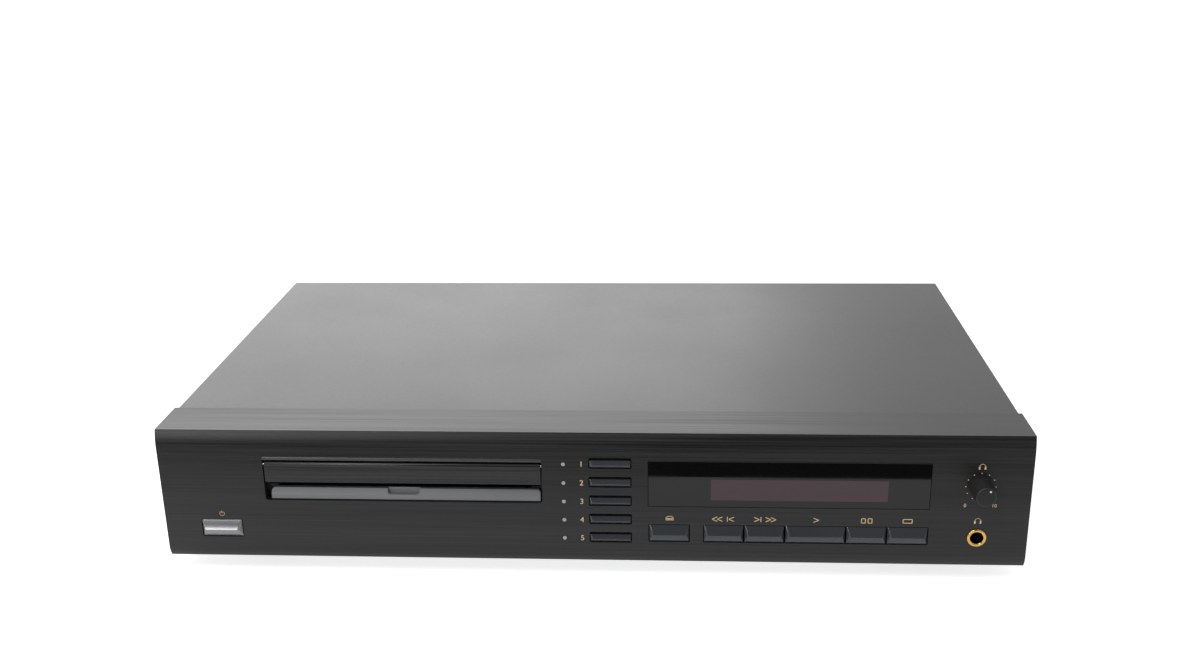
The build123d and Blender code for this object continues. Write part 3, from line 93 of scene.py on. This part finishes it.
class Finish:
    """One material: its Principled shader, and the nodes that vary it over the surface."""

    def __init__(self, name, **sockets):
        self.material = bpy.data.materials.new(name)
        self.material.use_nodes = True
        self.tree = self.material.node_tree
        self.shader = self.tree.nodes["Principled BSDF"]
        self.set(**sockets)

    def node(self, kind, settings=None, values=None, output=0):
        """A node of that kind: its settings first, then its sockets' values or wires."""
        made = self.tree.nodes.new(kind)
        for key, value in (settings or {}).items():
            setattr(made, key, value)
        for key, value in (values or {}).items():
            self.fill(made.inputs[key], value)
        return Wire(self, made.outputs[output])

    def fill(self, socket, value):
        if isinstance(value, Wire):
            self.tree.links.new(value.socket, socket)
        elif isinstance(value, tuple) and len(value) == 3 and socket.type == "RGBA":
            socket.default_value = (*value, 1.0)
        else:
            socket.default_value = value

    def set(self, **sockets):
        """Sockets of the shader by name, with _ for a space."""
        for key, value in sockets.items():
            self.fill(self.shader.inputs[key.replace("_", " ")], value)

    def place(self, scale=(1.0, 1.0, 1.0)):
        """The object's own coordinates in metres, stretched along each axis."""
        own = self.node("ShaderNodeTexCoord", output="Object")
        return self.node("ShaderNodeMapping", {}, {"Vector": own, "Scale": scale})

    def noise(self, scale, detail=2.0, stretch=(1.0, 1.0, 1.0), rough=0.5):
        values = {"Vector": self.place(stretch), "Scale": scale}
        values.update({"Detail": detail, "Roughness": rough})
        return self.node("ShaderNodeTexNoise", {}, values)

    def spread(self, wire, low, high, start=0.3, end=0.7):
        """A wire's range from start to end, drawn out from low to high."""
        values = {"Value": wire, "From Min": start, "From Max": end}
        values.update({"To Min": low, "To Max": high})
        return self.node("ShaderNodeMapRange", {}, values)

    def blend(self, mask, colour, other):
        """Colour where the mask is 0, other where it is 1."""
        return self.node("ShaderNodeMix", {"data_type": "RGBA"}, {0: mask, 6: colour, 7: other}, 2)

    def bump(self, height, strength, distance):
        values = {"Height": height, "Strength": strength, "Distance": distance}
        self.set(Normal=self.node("ShaderNodeBump", {}, values))


def wear(finish, *nodes):
    """Give CAD nodes or pieces a finish in all their slots."""
    for name in nodes:
        piece = frame["nodes"][name] if isinstance(name, str) else name
        piece.data.materials.clear()
        piece.data.materials.append(finish.material)


def brushed(name, dark, light, rough):
    """Anodised aluminium, brushed along X: long hairlines, and slower bands under them."""
    finish = Finish(name, Metallic=0.0, IOR=1.5)
    hairline = finish.noise(260.0, 3.0, (0.02, 4.0, 4.0), 0.7)
    band = finish.noise(60.0, 2.0, (0.05, 1.5, 1.5))
    lines = hairline * 0.7 + band * 0.3
    finish.set(Base_Color=finish.blend(finish.spread(lines, 0.0, 1.0, 0.38, 0.62), dark, light))
    finish.set(Roughness=finish.spread(lines, rough - 0.08, rough + 0.1, 0.35, 0.65))
    finish.bump(hairline, 0.25, 0.00012)
    return finish


PANEL_BLACK = brushed("panel black anodised", (0.006, 0.006, 0.007), (0.022, 0.022, 0.023), 0.4)
wear(PANEL_BLACK, "front_panel")

# Top cover: one sheet of steel folded down both sides, with a powder coat that is satin black
# and finely pebbled. It is screwed on at the sides and along the back.


def coated(name, colour, rough, grain=900.0, depth=0.00006):
    """Powder coat: an even colour with a fine orange peel and slight, cloudy wear in its gloss."""
    finish = Finish(name, IOR=1.5)
    peel = finish.noise(grain, 2.0)
    cloud = finish.noise(9.0, 3.0)
    lighter = tuple(1.35 * part + 0.002 for part in colour)
    finish.set(Base_Color=finish.blend(finish.spread(cloud, 0.0, 1.0), colour, lighter))
    finish.set(Roughness=finish.spread(cloud * 0.6 + peel * 0.4, rough - 0.04, rough + 0.06))
    finish.bump(peel, 0.3, depth)
    return finish


COVER_BLACK = coated("cover black coat", (0.012, 0.012, 0.0125), 0.36)
wear(COVER_BLACK, "top_cover", "rear_panel")

# Base: a folded pan of zinc plated steel that carries everything inside. Only its underside
# and the edge behind the front panel show. Metal parts of the mechanism have the same plating.


def plated(name, colour, rough, metal=1.0):
    """Bright plated or rolled steel, with the faint clouds that zinc has."""
    finish = Finish(name, Metallic=metal)
    cloud = finish.noise(45.0, 3.0)
    grain = finish.noise(500.0, 2.0, (0.15, 1.0, 1.0))
    darker = tuple(0.8 * part for part in colour)
    finish.set(Base_Color=finish.blend(finish.spread(cloud, 0.0, 1.0), darker, colour))
    finish.set(Roughness=finish.spread(grain * 0.5 + cloud * 0.5, rough - 0.07, rough + 0.1))
    finish.bump(grain, 0.15, 0.00004)
    return finish


ZINC = plated("zinc plate", (0.5, 0.51, 0.52), 0.38)
wear(ZINC, "chassis_base", "clamp_bridge", "carrier_base", "lift_cams")
wear(ZINC, "loading_motor", "traverse_motors", "level_pot")

# Feet: round black mouldings on a screw each, with a thin ring of rubber let into the bottom.


def moulded(name, colour, rough, grain=1400.0, depth=0.00005):
    """Moulded plastic or rubber: a fine spark texture, and gloss that varies a little."""
    finish = Finish(name, IOR=1.48)
    texture = finish.noise(grain, 2.0)
    flow = finish.noise(30.0, 2.0)
    lighter = tuple(1.25 * part + 0.001 for part in colour)
    finish.set(Base_Color=finish.blend(finish.spread(flow, 0.0, 1.0), colour, lighter))
    finish.set(Roughness=finish.spread(flow * 0.5 + texture * 0.5, rough - 0.05, rough + 0.08))
    finish.bump(texture, 0.35, depth)
    return finish


BLACK_PLASTIC = moulded("black moulding", (0.018, 0.018, 0.019), 0.5)
RUBBER = moulded("foot rubber", (0.015, 0.015, 0.015), 0.8, 700.0, 0.0001)
wear(BLACK_PLASTIC, "feet", "key_switches", "mechanism_frame", "clamper", "turntable", "pickup")
wear(BLACK_PLASTIC, "stocker_cage", "power_switch", "mains_inlet", "phones_jack")
wear(RUBBER, "foot_pads", "loading_belt")

# Screws: steel with black oxide, at the sides and the back of the case. They hold the cover and
# the rear panel.
BLACK_STEEL = plated("black oxide steel", (0.055, 0.055, 0.06), 0.35)
wear(BLACK_STEEL, "case_screws")

# Tray opening: a satin plastic strip along its top, a sprung door of the panel's own brushed
# aluminium, and the painted lip on the front of the disc tray below it. Their edges are eased.


def body_of(node):
    """The body that a CAD node rides on."""
    bodies = frame["record"]["behaviour"]["bodies"]
    return next(body for body, nodes in bodies.items() if node in nodes)


def new_piece(name, shape, finish, body="chassis"):
    """A bmesh turned into a piece in place, with a finish, riding on a body."""
    mesh = bpy.data.meshes.new(name)
    shape.to_mesh(mesh)
    shape.free()
    piece = bpy.data.objects.new(name, mesh)
    bpy.context.scene.collection.objects.link(piece)
    wear(finish, piece)
    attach(piece, body)
    return piece


WELD = 0.000002
FLAT_ENOUGH = math.radians(0.5)


def eased(node, width, finish, sharpest=35.0, segments=2):
    """A node's shape again, with its sharp edges rounded over, in place of the node.

    Edges that turn by more than sharpest, in degrees, are rounded to the width."""
    shape = bmesh.new()
    shape.from_mesh(frame["nodes"][node].data)
    bmesh.ops.remove_doubles(shape, verts=shape.verts, dist=WELD)
    bmesh.ops.dissolve_limit(
        shape, angle_limit=FLAT_ENOUGH, verts=shape.verts, edges=shape.edges
    )
    limit = math.radians(sharpest)
    corners = [e for e in shape.edges if e.is_manifold and e.calc_face_angle() > limit]
    bmesh.ops.bevel(
        shape,
        geom=corners,
        offset=width,
        offset_type="OFFSET",
        segments=segments,
        profile=0.5,
        affect="EDGES",
        clamp_overlap=True,
        material=-1,
    )
    bmesh.ops.triangulate(shape, faces=[f for f in shape.faces if len(f.verts) > 4])
    piece = new_piece(node + "_eased", shape, finish, body_of(node))
    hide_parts(node)
    return piece


TRIM_PLASTIC = moulded("trim strip plastic", (0.05, 0.05, 0.052), 0.24, 1800.0, 0.00002)
# The door has the panel's own anodising, but its colours are painted lighter than the panel's. This
# painted lightening offsets the shade that falls on the door in the recess of the tray opening.
DOOR_BLACK_LIGHTENED_FOR_SHADE = brushed("door black anodised lightened for shade", (0.012, 0.012, 0.013), (0.034, 0.034, 0.036), 0.3)
LIP_PAINT = coated("tray lip paint", (0.15, 0.153, 0.158), 0.3, 1500.0, 0.00002)
TRAY_PLASTIC = moulded("tray plastic", (0.045, 0.045, 0.047), 0.45)
wear(TRIM_PLASTIC, "tray_trim")
DOOR_EASE = 0.0003
LIP_EASE = 0.00018
eased("tray_door", DOOR_EASE, DOOR_BLACK_LIGHTENED_FOR_SHADE)
eased("tray_lip", LIP_EASE, LIP_PAINT, 20.0)
wear(TRAY_PLASTIC, "disc_tray")

# Keys: hollow mouldings with a metallic grey paint that is nearly black in shade, each with
# two facets that meet in a ridge. The power key is painted silver.
KEY_PAINT = coated("key paint", (0.028, 0.03, 0.034), 0.22, 2200.0, 0.00001)
KEY_PAINT.set(Coat_Weight=0.3, Coat_Roughness=0.12)
POWER_PAINT = coated("power key paint", (0.3, 0.3, 0.31), 0.24, 2200.0, 0.00001)
POWER_PAINT.set(Metallic=0.7)
DISC_KEYS = [f"disc_button_{number}" for number in range(1, 6)]
PLAY_KEYS = [f"{name}_button" for name in ("skip_back", "skip_forward", "play", "pause", "stop")]
KEY_FLANGE = 0.0008
KEY_SKIRT = 0.004
KEY_ROWS = 26
KEY_COLUMNS = 72
CROWN_SLOPE = 0.75
CROWN_BEND = 0.25
CROWN_POWER = 2.2
HIP_REACH = 1.6
HIP_FILL = 0.25


def crowned_key(node, finish, ridge, edge_depth, hip, rounding):
    """A key cap: crowned above and below a ridge, hipped at both ends, with plain sides behind.

    The ridge is a share of the key's height, set to the nearest row of the grid, and is kept
    as a sharp line. The hips and their rounding are lengths."""
    low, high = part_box(node)
    bottom, top = low.z + KEY_FLANGE, high.z - KEY_FLANGE
    edge_y = FACE_Y + edge_depth
    rise = edge_y - low.y
    ridge_z = bottom + round(ridge * KEY_ROWS) / KEY_ROWS * (top - bottom)
    cap = bmesh.new()
    bmesh.ops.create_grid(cap, x_segments=KEY_COLUMNS, y_segments=KEY_ROWS, size=0.5)
    upright_turn = Matrix.Rotation(math.radians(90), 3, "X")
    bmesh.ops.rotate(cap, cent=(0, 0, 0), matrix=upright_turn, verts=cap.verts)
    bmesh.ops.scale(cap, vec=(high.x - low.x, 1.0, top - bottom), verts=cap.verts)
    middle = ((low.x + high.x) / 2, edge_y, (top + bottom) / 2)
    bmesh.ops.translate(cap, vec=middle, verts=cap.verts)
    for vert in cap.verts:
        span = (top - ridge_z) if vert.co.z > ridge_z else (ridge_z - bottom)
        away = min(1.0, abs(vert.co.z - ridge_z) / span)
        crown = rise * (1.0 - CROWN_SLOPE * away - CROWN_BEND * away**CROWN_POWER)
        inward = min(vert.co.x - low.x, high.x - vert.co.x) / hip
        slope = rise * min(HIP_REACH, max(0.0, inward))
        gap = max(0.0, rounding - abs(crown - slope)) / rounding
        vert.co.y -= min(crown, slope) - HIP_FILL * gap * gap * rounding
    for edge in cap.edges:
        edge.smooth = max(abs(vert.co.z - ridge_z) for vert in edge.verts) > 0.000001
    rim = [edge for edge in cap.edges if edge.is_boundary]
    pulled = bmesh.ops.extrude_edge_only(cap, edges=rim)["geom"]
    back = [part for part in pulled if isinstance(part, bmesh.types.BMVert)]
    bmesh.ops.translate(cap, vec=(0, KEY_SKIRT, 0), verts=back)
    back_rim = [part for part in pulled if isinstance(part, bmesh.types.BMEdge)]
    bmesh.ops.contextual_create(cap, geom=back_rim)
    bmesh.ops.recalc_face_normals(cap, faces=cap.faces)
    for face in cap.faces:
        face.smooth = abs(face.normal.y) > 0.3 and len(face.verts) == 4
    piece = new_piece(node + "_cap", cap, finish, body_of(node))
    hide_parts(node)


for key in DISC_KEYS:
    crowned_key(key, KEY_PAINT, 0.42, 0.0005, 0.0008, 0.0001)
for key in ["open_button"] + PLAY_KEYS:
    crowned_key(key, KEY_PAINT, 0.46, 0.0003, 0.0017, 0.0003)
crowned_key("power_button", POWER_PAINT, 0.5, 0.0003, 0.0017, 0.0003)

# Indicator lamps: the ends of clear acrylic light pipes that stand in holes beside the disc
# keys, dull white while unlit.
LAMP_ACRYLIC = moulded("lamp acrylic", (0.33, 0.33, 0.31), 0.3, 1500.0, 0.00001)
wear(LAMP_ACRYLIC, "indicator_lamps")

# Display: smoked acrylic in front of a tube. Through it the tube's filter shows as a slightly
# lighter, warmer patch.
SMOKED = Finish("smoked window acrylic", IOR=1.5, Roughness=0.04)
own = {"Vector": SMOKED.node("ShaderNodeTexCoord", output="Object")}
across = SMOKED.node("ShaderNodeSeparateXYZ", {}, own, 0)
upward = SMOKED.node("ShaderNodeSeparateXYZ", {}, own, 2)
SMOKE = (0.004, 0.004, 0.0045)
TUBE_FILTER = (0.05, 0.026, 0.033)
LIT_CENTRE = (0.1033, PANEL_FOOT + 0.0406)
LIT_HALF = (0.043, 0.0056)
inside_x = abs(across - LIT_CENTRE[0]) < LIT_HALF[0]
inside_z = abs(upward - LIT_CENTRE[1]) < LIT_HALF[1]
SMOKED.set(Base_Color=SMOKED.blend(inside_x * inside_z, SMOKE, TUBE_FILTER))
haze = SMOKED.noise(25.0, 3.0)
SMOKED.set(Roughness=SMOKED.spread(haze, 0.03, 0.07))
wear(SMOKED, "display_window")
TUBE_GLASS = Finish("tube glass", Base_Color=(0.05, 0.04, 0.045), IOR=1.5)
TUBE_GLASS.set(Roughness=TUBE_GLASS.spread(TUBE_GLASS.noise(60.0), 0.05, 0.12))
wear(TUBE_GLASS, "display_tube")

# Headphone output: a gold plated bush round the jack, and a small satin knob above it.
KNOB_POINTER = 30.0
GOLD = Finish("gold plate", Base_Color=(0.9, 0.55, 0.17), Metallic=1.0)
GOLD.set(Roughness=GOLD.spread(GOLD.noise(400.0, 2.0), 0.12, 0.22))
KNOB_PLASTIC = moulded("knob plastic", (0.014, 0.014, 0.015), 0.33, 1800.0, 0.00002)
wear(GOLD, "motor_pulley")
eased("jack_ring", 0.0004, GOLD, 30.0, 3)
wear(KNOB_PLASTIC, "phones_knob")

# Printed marks: screen printed on the finished panel in a pale gold ink. They are flat, a few
# hundredths of a millimetre thick: strokes for the playing symbols, figures for the five
# discs and the level scale, and dots round the knob.
INK = coated("gold ink", (0.62, 0.46, 0.25), 0.45, 2500.0, 0.00001)
INK_THICK = 0.00004
STROKE = 0.00032


def on_face(across_mm, up_mm):
    """A point on the panel's face, from the middle and up from the panel's lower edge."""
    return Vector((across_mm * MM, FACE_Y, PANEL_FOOT + up_mm * MM))


def add_stroke(shape, start, end, width=STROKE):
    """One flat bar of ink between two points of the face."""
    middle = (start + end) / 2
    run = end - start
    bar = bmesh.ops.create_cube(shape, size=1.0)["verts"]
    bmesh.ops.scale(shape, vec=(run.length + width * 0.6, INK_THICK, width), verts=bar)
    lean = Matrix.Rotation(-math.atan2(run.z, run.x), 3, "Y")
    bmesh.ops.rotate(shape, cent=(0, 0, 0), matrix=lean, verts=bar)
    bmesh.ops.translate(shape, vec=middle - Vector((0, INK_THICK * 0.4, 0)), verts=bar)


def add_dot(shape, centre, radius):
    """One round spot of ink."""
    turned = Matrix.Rotation(math.radians(90), 4, "X")
    spot = bmesh.ops.create_cone(
        shape, cap_ends=True, segments=20, radius1=radius, radius2=radius, depth=INK_THICK
    )["verts"]
    bmesh.ops.transform(shape, matrix=turned, verts=spot)
    bmesh.ops.translate(shape, vec=centre - Vector((0, INK_THICK * 0.4, 0)), verts=spot)


def add_path(shape, points, width=STROKE):
    for start, end in zip(points[:-1], points[1:]):
        add_stroke(shape, on_face(*start), on_face(*end), width)


SYMBOL_Z = 24.7
CHEVRON_W = 2.5
CHEVRON_H = 1.15
BAR_HALF = 1.25


def chevron(shape, tip, away):
    """An arrow head of two strokes. away is -1 for one that points right."""
    ends = [(tip + away * CHEVRON_W, SYMBOL_Z + side * CHEVRON_H) for side in (-1, 1)]
    add_path(shape, [ends[0], (tip, SYMBOL_Z), ends[1]])


def upright(shape, across_mm):
    add_path(shape, [(across_mm, SYMBOL_Z - BAR_HALF), (across_mm, SYMBOL_Z + BAR_HALF)])


def outline_box(shape, left, right, low, high):
    add_path(shape, [(left, low), (right, low), (right, high), (left, high), (left, low)])


symbols = bmesh.new()
for tip in (61.0, 63.6):
    chevron(symbols, tip, 1)
upright(symbols, 68.6)
chevron(symbols, 69.3, 1)
chevron(symbols, 84.4, -1)
upright(symbols, 85.1)
for tip in (90.0, 92.6):
    chevron(symbols, tip, -1)
chevron(symbols, 113.4, -1)
for left in (134.2, 137.4):
    outline_box(symbols, left, left + 1.9, SYMBOL_Z - 1.2, SYMBOL_Z + 1.2)
outline_box(symbols, 154.4, 158.8, SYMBOL_Z - 1.0, SYMBOL_Z + 1.0)
dome = []
for step in range(9):
    angle = step * math.pi / 8
    dome.append((40.2 - 1.9 * math.cos(angle), SYMBOL_Z + 1.3 * math.sin(angle)))
add_path(symbols, dome + [dome[0]], 0.0004)
add_path(symbols, [(38.2, SYMBOL_Z - 0.7), (42.2, SYMBOL_Z - 0.7)])
new_piece("playing_symbols", symbols, INK)

# The power mark: a broken ring with a bar through the gap.
power_mark = bmesh.new()
POWER_MARK = (-185.5, 24.6)
POWER_RING_R = 1.2
POWER_STROKE = 0.00026
ring = []
for step in range(15):
    angle = math.radians(125 + step * 290 / 14)
    out = (POWER_RING_R * math.cos(angle), POWER_RING_R * math.sin(angle))
    ring.append((POWER_MARK[0] + out[0], POWER_MARK[1] + out[1]))
add_path(power_mark, ring, POWER_STROKE)
bar = [(POWER_MARK[0], POWER_MARK[1] + up) for up in (0.3, 1.5)]
add_path(power_mark, bar, POWER_STROKE)
new_piece("power_mark", power_mark, INK)

# The scale round the knob: eleven dots, and two headphone marks for the knob and the jack.
scale = bmesh.new()
KNOB_AT = (190.4, 43.8)
DOTS_R = 7.2
DOT_R = 0.00028
for step in range(11):
    angle = math.radians(-150 + 30 * step)
    out = (DOTS_R * math.sin(angle), DOTS_R * math.cos(angle))
    add_dot(scale, on_face(KNOB_AT[0] + out[0], KNOB_AT[1] + out[1]), DOT_R)
new_piece("level_scale", scale, INK)
knob_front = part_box("phones_knob")[0].y
POINTER_OUT = 0.0036
POINTER_R = 0.00045
pointer = bmesh.new()
toward = math.radians(KNOB_POINTER)
at = Vector((KNOB_AT[0] * MM, knob_front, PANEL_FOOT + KNOB_AT[1] * MM))
add_dot(pointer, at + POINTER_OUT * Vector((math.sin(toward), 0, math.cos(toward))), POINTER_R)
POINTER_WHITE = coated("pointer white", (0.75, 0.75, 0.72), 0.4, 2500.0, 0.00001)
new_piece("knob_pointer", pointer, POINTER_WHITE, "level_knob")


def headphone_mark(name, across_mm, up_mm, size):
    """A head band and two pads."""
    mark = bmesh.new()
    band = []
    for step in range(11):
        angle = math.pi * step / 10
        band.append((across_mm + size * math.cos(angle), up_mm + size * math.sin(angle)))
    add_path(mark, band, 0.0003)
    for side in (-1, 1):
        pad = across_mm + side * size * 0.92
        add_path(mark, [(pad, up_mm - size * 0.75), (pad, up_mm + size * 0.1)], 0.00075)
    new_piece(name, mark, INK)


headphone_mark("level_mark", KNOB_AT[0], 54.3, 1.5)
headphone_mark("jack_mark", KNOB_AT[0], 25.2, 1.5)


def figures(name, words, height):
    """Printed figures: each text, where its middle sits, made a flat mesh in place."""
    joined = bmesh.new()
    for text, centre in words:
        letter = bpy.data.curves.new(name, "FONT")
        letter.body = text
        letter.size = height
        letter.align_x = "CENTER"
        letter.align_y = "CENTER"
        letter.extrude = INK_THICK / 2
        letter.resolution_u = 3
        holder = bpy.data.objects.new(name, letter)
        flat = bpy.data.meshes.new_from_object(holder)
        stand = Matrix.Translation(centre) @ Matrix.Rotation(math.radians(90), 4, "X")
        flat.transform(stand)
        joined.from_mesh(flat)
        bpy.data.objects.remove(holder)
        bpy.data.meshes.remove(flat)
    bmesh.ops.remove_doubles(joined, verts=joined.verts, dist=0.000001)
    new_piece(name, joined, INK)


disc_words = []
for number, key in enumerate(DISC_KEYS, 1):
    low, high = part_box(key)
    middle = ((low.z + high.z) / 2 - PANEL_FOOT) / MM
    disc_words.append((str(number), on_face(-3.2, middle)))
level_words = [("0", on_face(183.6, 33.6)), ("10", on_face(197.6, 33.6))]
figures("disc_figures", disc_words, 0.0041)
figures("level_figures", level_words, 0.0026)

# Inside: boards of brown laminate, white acetal gears, ground rods, flat cables and the
# transformer's laminations.


def board(name, colour, trace):
    """Circuit board: laminate with paler tracks in a loose right-angled weave."""
    finish = Finish(name, IOR=1.5)
    tracks = finish.node("ShaderNodeTexBrick", {}, {"Vector": finish.place(), "Scale": 90.0}, 1)
    cloud = finish.noise(40.0, 2.0)
    finish.set(Base_Color=finish.blend(finish.spread(cloud, 0.0, 0.6) * tracks, colour, trace))
    finish.set(Roughness=finish.spread(cloud, 0.4, 0.55))
    return finish


LAMINATE = board("board laminate", (0.2, 0.11, 0.04), (0.3, 0.2, 0.08))
ACETAL = moulded("white acetal", (0.6, 0.58, 0.53), 0.4)
GROUND_STEEL = plated("ground steel", (0.62, 0.62, 0.63), 0.16)
LAMINATED_IRON = coated("varnished iron", (0.05, 0.045, 0.04), 0.4)
RIBBON = moulded("ribbon cable", (0.55, 0.55, 0.52), 0.5)
wear(LAMINATE, "main_board", "power_board", "display_board", "phones_board")
wear(ACETAL, "drive_gear", "pulley_gear", "lead_screw", "lift_wedge", "power_rod")
wear(GROUND_STEEL, "door_pins", "pot_shaft", "guide_rods")
wear(LAMINATED_IRON, "transformer")
wear(RIBBON, "flat_cables")

# Rear jacks: nickel plated barrels pressed into a block behind the rear panel, and the square
# optical socket beside them, which has the same finish here.
NICKEL = plated("nickel plate", (0.6, 0.58, 0.54), 0.25)
wear(NICKEL, "rear_jacks")

# Studio: a pale floor, white surroundings, and three soft lamps: behind and above, over the
# front, and low at the front left. A dark card and a dark wall in front are seen only by glossy
# surfaces, as they would see a dim room.
bpy.context.scene.view_settings.view_transform = "Standard"
CAMERA_PLACE = (0.04192, -0.69737, 0.33272)
CAMERA_RIGHT = (0.998364, 0.055002, -0.015627)
CAMERA_UP = (-0.003512, 0.331769, 0.943354)
CAMERA_BACK = (0.057071, -0.941756, 0.331419)
LENS = 38.74
lens_data = bpy.data.cameras.new("studio_camera")
lens_data.lens = LENS
lens_data.sensor_width = 36.0
lens_data.clip_start = 0.01
camera = bpy.data.objects.new("studio_camera", lens_data)
bpy.context.scene.collection.objects.link(camera)
turn = Matrix((CAMERA_RIGHT, CAMERA_UP, CAMERA_BACK)).transposed()
camera.matrix_world = Matrix.Translation(CAMERA_PLACE) @ turn.to_4x4()
bpy.context.scene.camera = camera


def flat_sheet(name, low, high, height):
    """A plain horizontal sheet for the studio."""
    mesh = bpy.data.meshes.new(name)
    shape = bmesh.new()
    bmesh.ops.create_grid(shape, x_segments=1, y_segments=1, size=0.5)
    size = (high[0] - low[0], high[1] - low[1], 1.0)
    bmesh.ops.scale(shape, vec=size, verts=shape.verts)
    middle = ((low[0] + high[0]) / 2, (low[1] + high[1]) / 2, height)
    bmesh.ops.translate(shape, vec=middle, verts=shape.verts)
    shape.to_mesh(mesh)
    shape.free()
    sheet = bpy.data.objects.new(name, mesh)
    bpy.context.scene.collection.objects.link(sheet)
    return sheet


floor = flat_sheet("studio_floor", (-4.0, -4.0), (4.0, 4.0), 0.0)
FLOOR_WHITE = Finish("floor white", Base_Color=(0.8, 0.8, 0.81), Roughness=0.7)
FLOOR_WHITE.set(Emission_Strength=1.0)
CAMERA_GLOW = 0.72
GLOSSY_GLOW = 0.2
by_camera = FLOOR_WHITE.node("ShaderNodeLightPath", output="Is Camera Ray")
by_gloss = FLOOR_WHITE.node("ShaderNodeLightPath", output="Is Glossy Ray")
glow = by_camera * CAMERA_GLOW + by_gloss * GLOSSY_GLOW
FLOOR_WHITE.set(Emission_Color=FLOOR_WHITE.blend(glow, (0.0, 0.0, 0.0), (1.0, 1.0, 1.0)))
wear(FLOOR_WHITE, floor)
ROOM_Y = -2.4
CARD_EDGE_Y = -0.237
card = flat_sheet("dim_card", (-2.0, ROOM_Y), (2.0, CARD_EDGE_Y), 0.002)
CARD_DARK = Finish("card black", Base_Color=(0.008, 0.008, 0.008), Roughness=1.0)
CARD_DARK.set(Specular_IOR_Level=0.0)
room = flat_sheet("dim_room", (-3.5, -1.0), (3.5, 1.6), 0.0)
raised = Matrix.Translation((0, ROOM_Y, 1.0)) @ Matrix.Rotation(math.radians(90), 4, "X")
room.data.transform(raised)
for dark in (card, room):
    wear(CARD_DARK, dark)
    dark.visible_camera = False
    dark.visible_diffuse = False
    dark.visible_shadow = False

world = bpy.data.worlds.new("studio_world")
world.use_nodes = True
bpy.context.scene.world = world
sky = world.node_tree
background = sky.nodes["Background"]
background.inputs["Color"].default_value = (1.0, 1.0, 1.0, 1.0)
ray = sky.nodes.new("ShaderNodeLightPath")
seen = sky.nodes.new("ShaderNodeMath")
seen.operation = "MAXIMUM"
sky.links.new(ray.outputs["Is Camera Ray"], seen.inputs[0])
sky.links.new(ray.outputs["Is Glossy Ray"], seen.inputs[1])
SKY_SEEN = 1.0
SKY_LIGHT = 0.55
level = sky.nodes.new("ShaderNodeMapRange")
level.inputs["To Min"].default_value = SKY_LIGHT
level.inputs["To Max"].default_value = SKY_SEEN
sky.links.new(seen.outputs[0], level.inputs["Value"])
sky.links.new(level.outputs[0], background.inputs["Strength"])


def soft_lamp(name, place, aim, size, power):
    """A square lamp that faces a point. Its size is in metres and its power in watts."""
    data = bpy.data.lights.new(name, "AREA")
    data.shape = "SQUARE"
    data.size = size
    data.energy = power
    lamp = bpy.data.objects.new(name, data)
    bpy.context.scene.collection.objects.link(lamp)
    lamp.location = place
    facing = (Vector(aim) - Vector(place)).to_track_quat("-Z", "Y")
    lamp.rotation_euler = facing.to_euler()


soft_lamp("window_lamp", (-1.5, 4.6, 2.0), (0.0, 0.0, 0.05), 4.4, 100.0)
soft_lamp("ceiling_lamp", (-0.75, -0.85, 1.65), (-0.1, 0.0, 0.05), 0.9, 12.0)
soft_lamp("doorway_lamp", (-0.95, -2.1, 0.45), (-0.15, -0.12, 0.05), 0.6, 9.0)
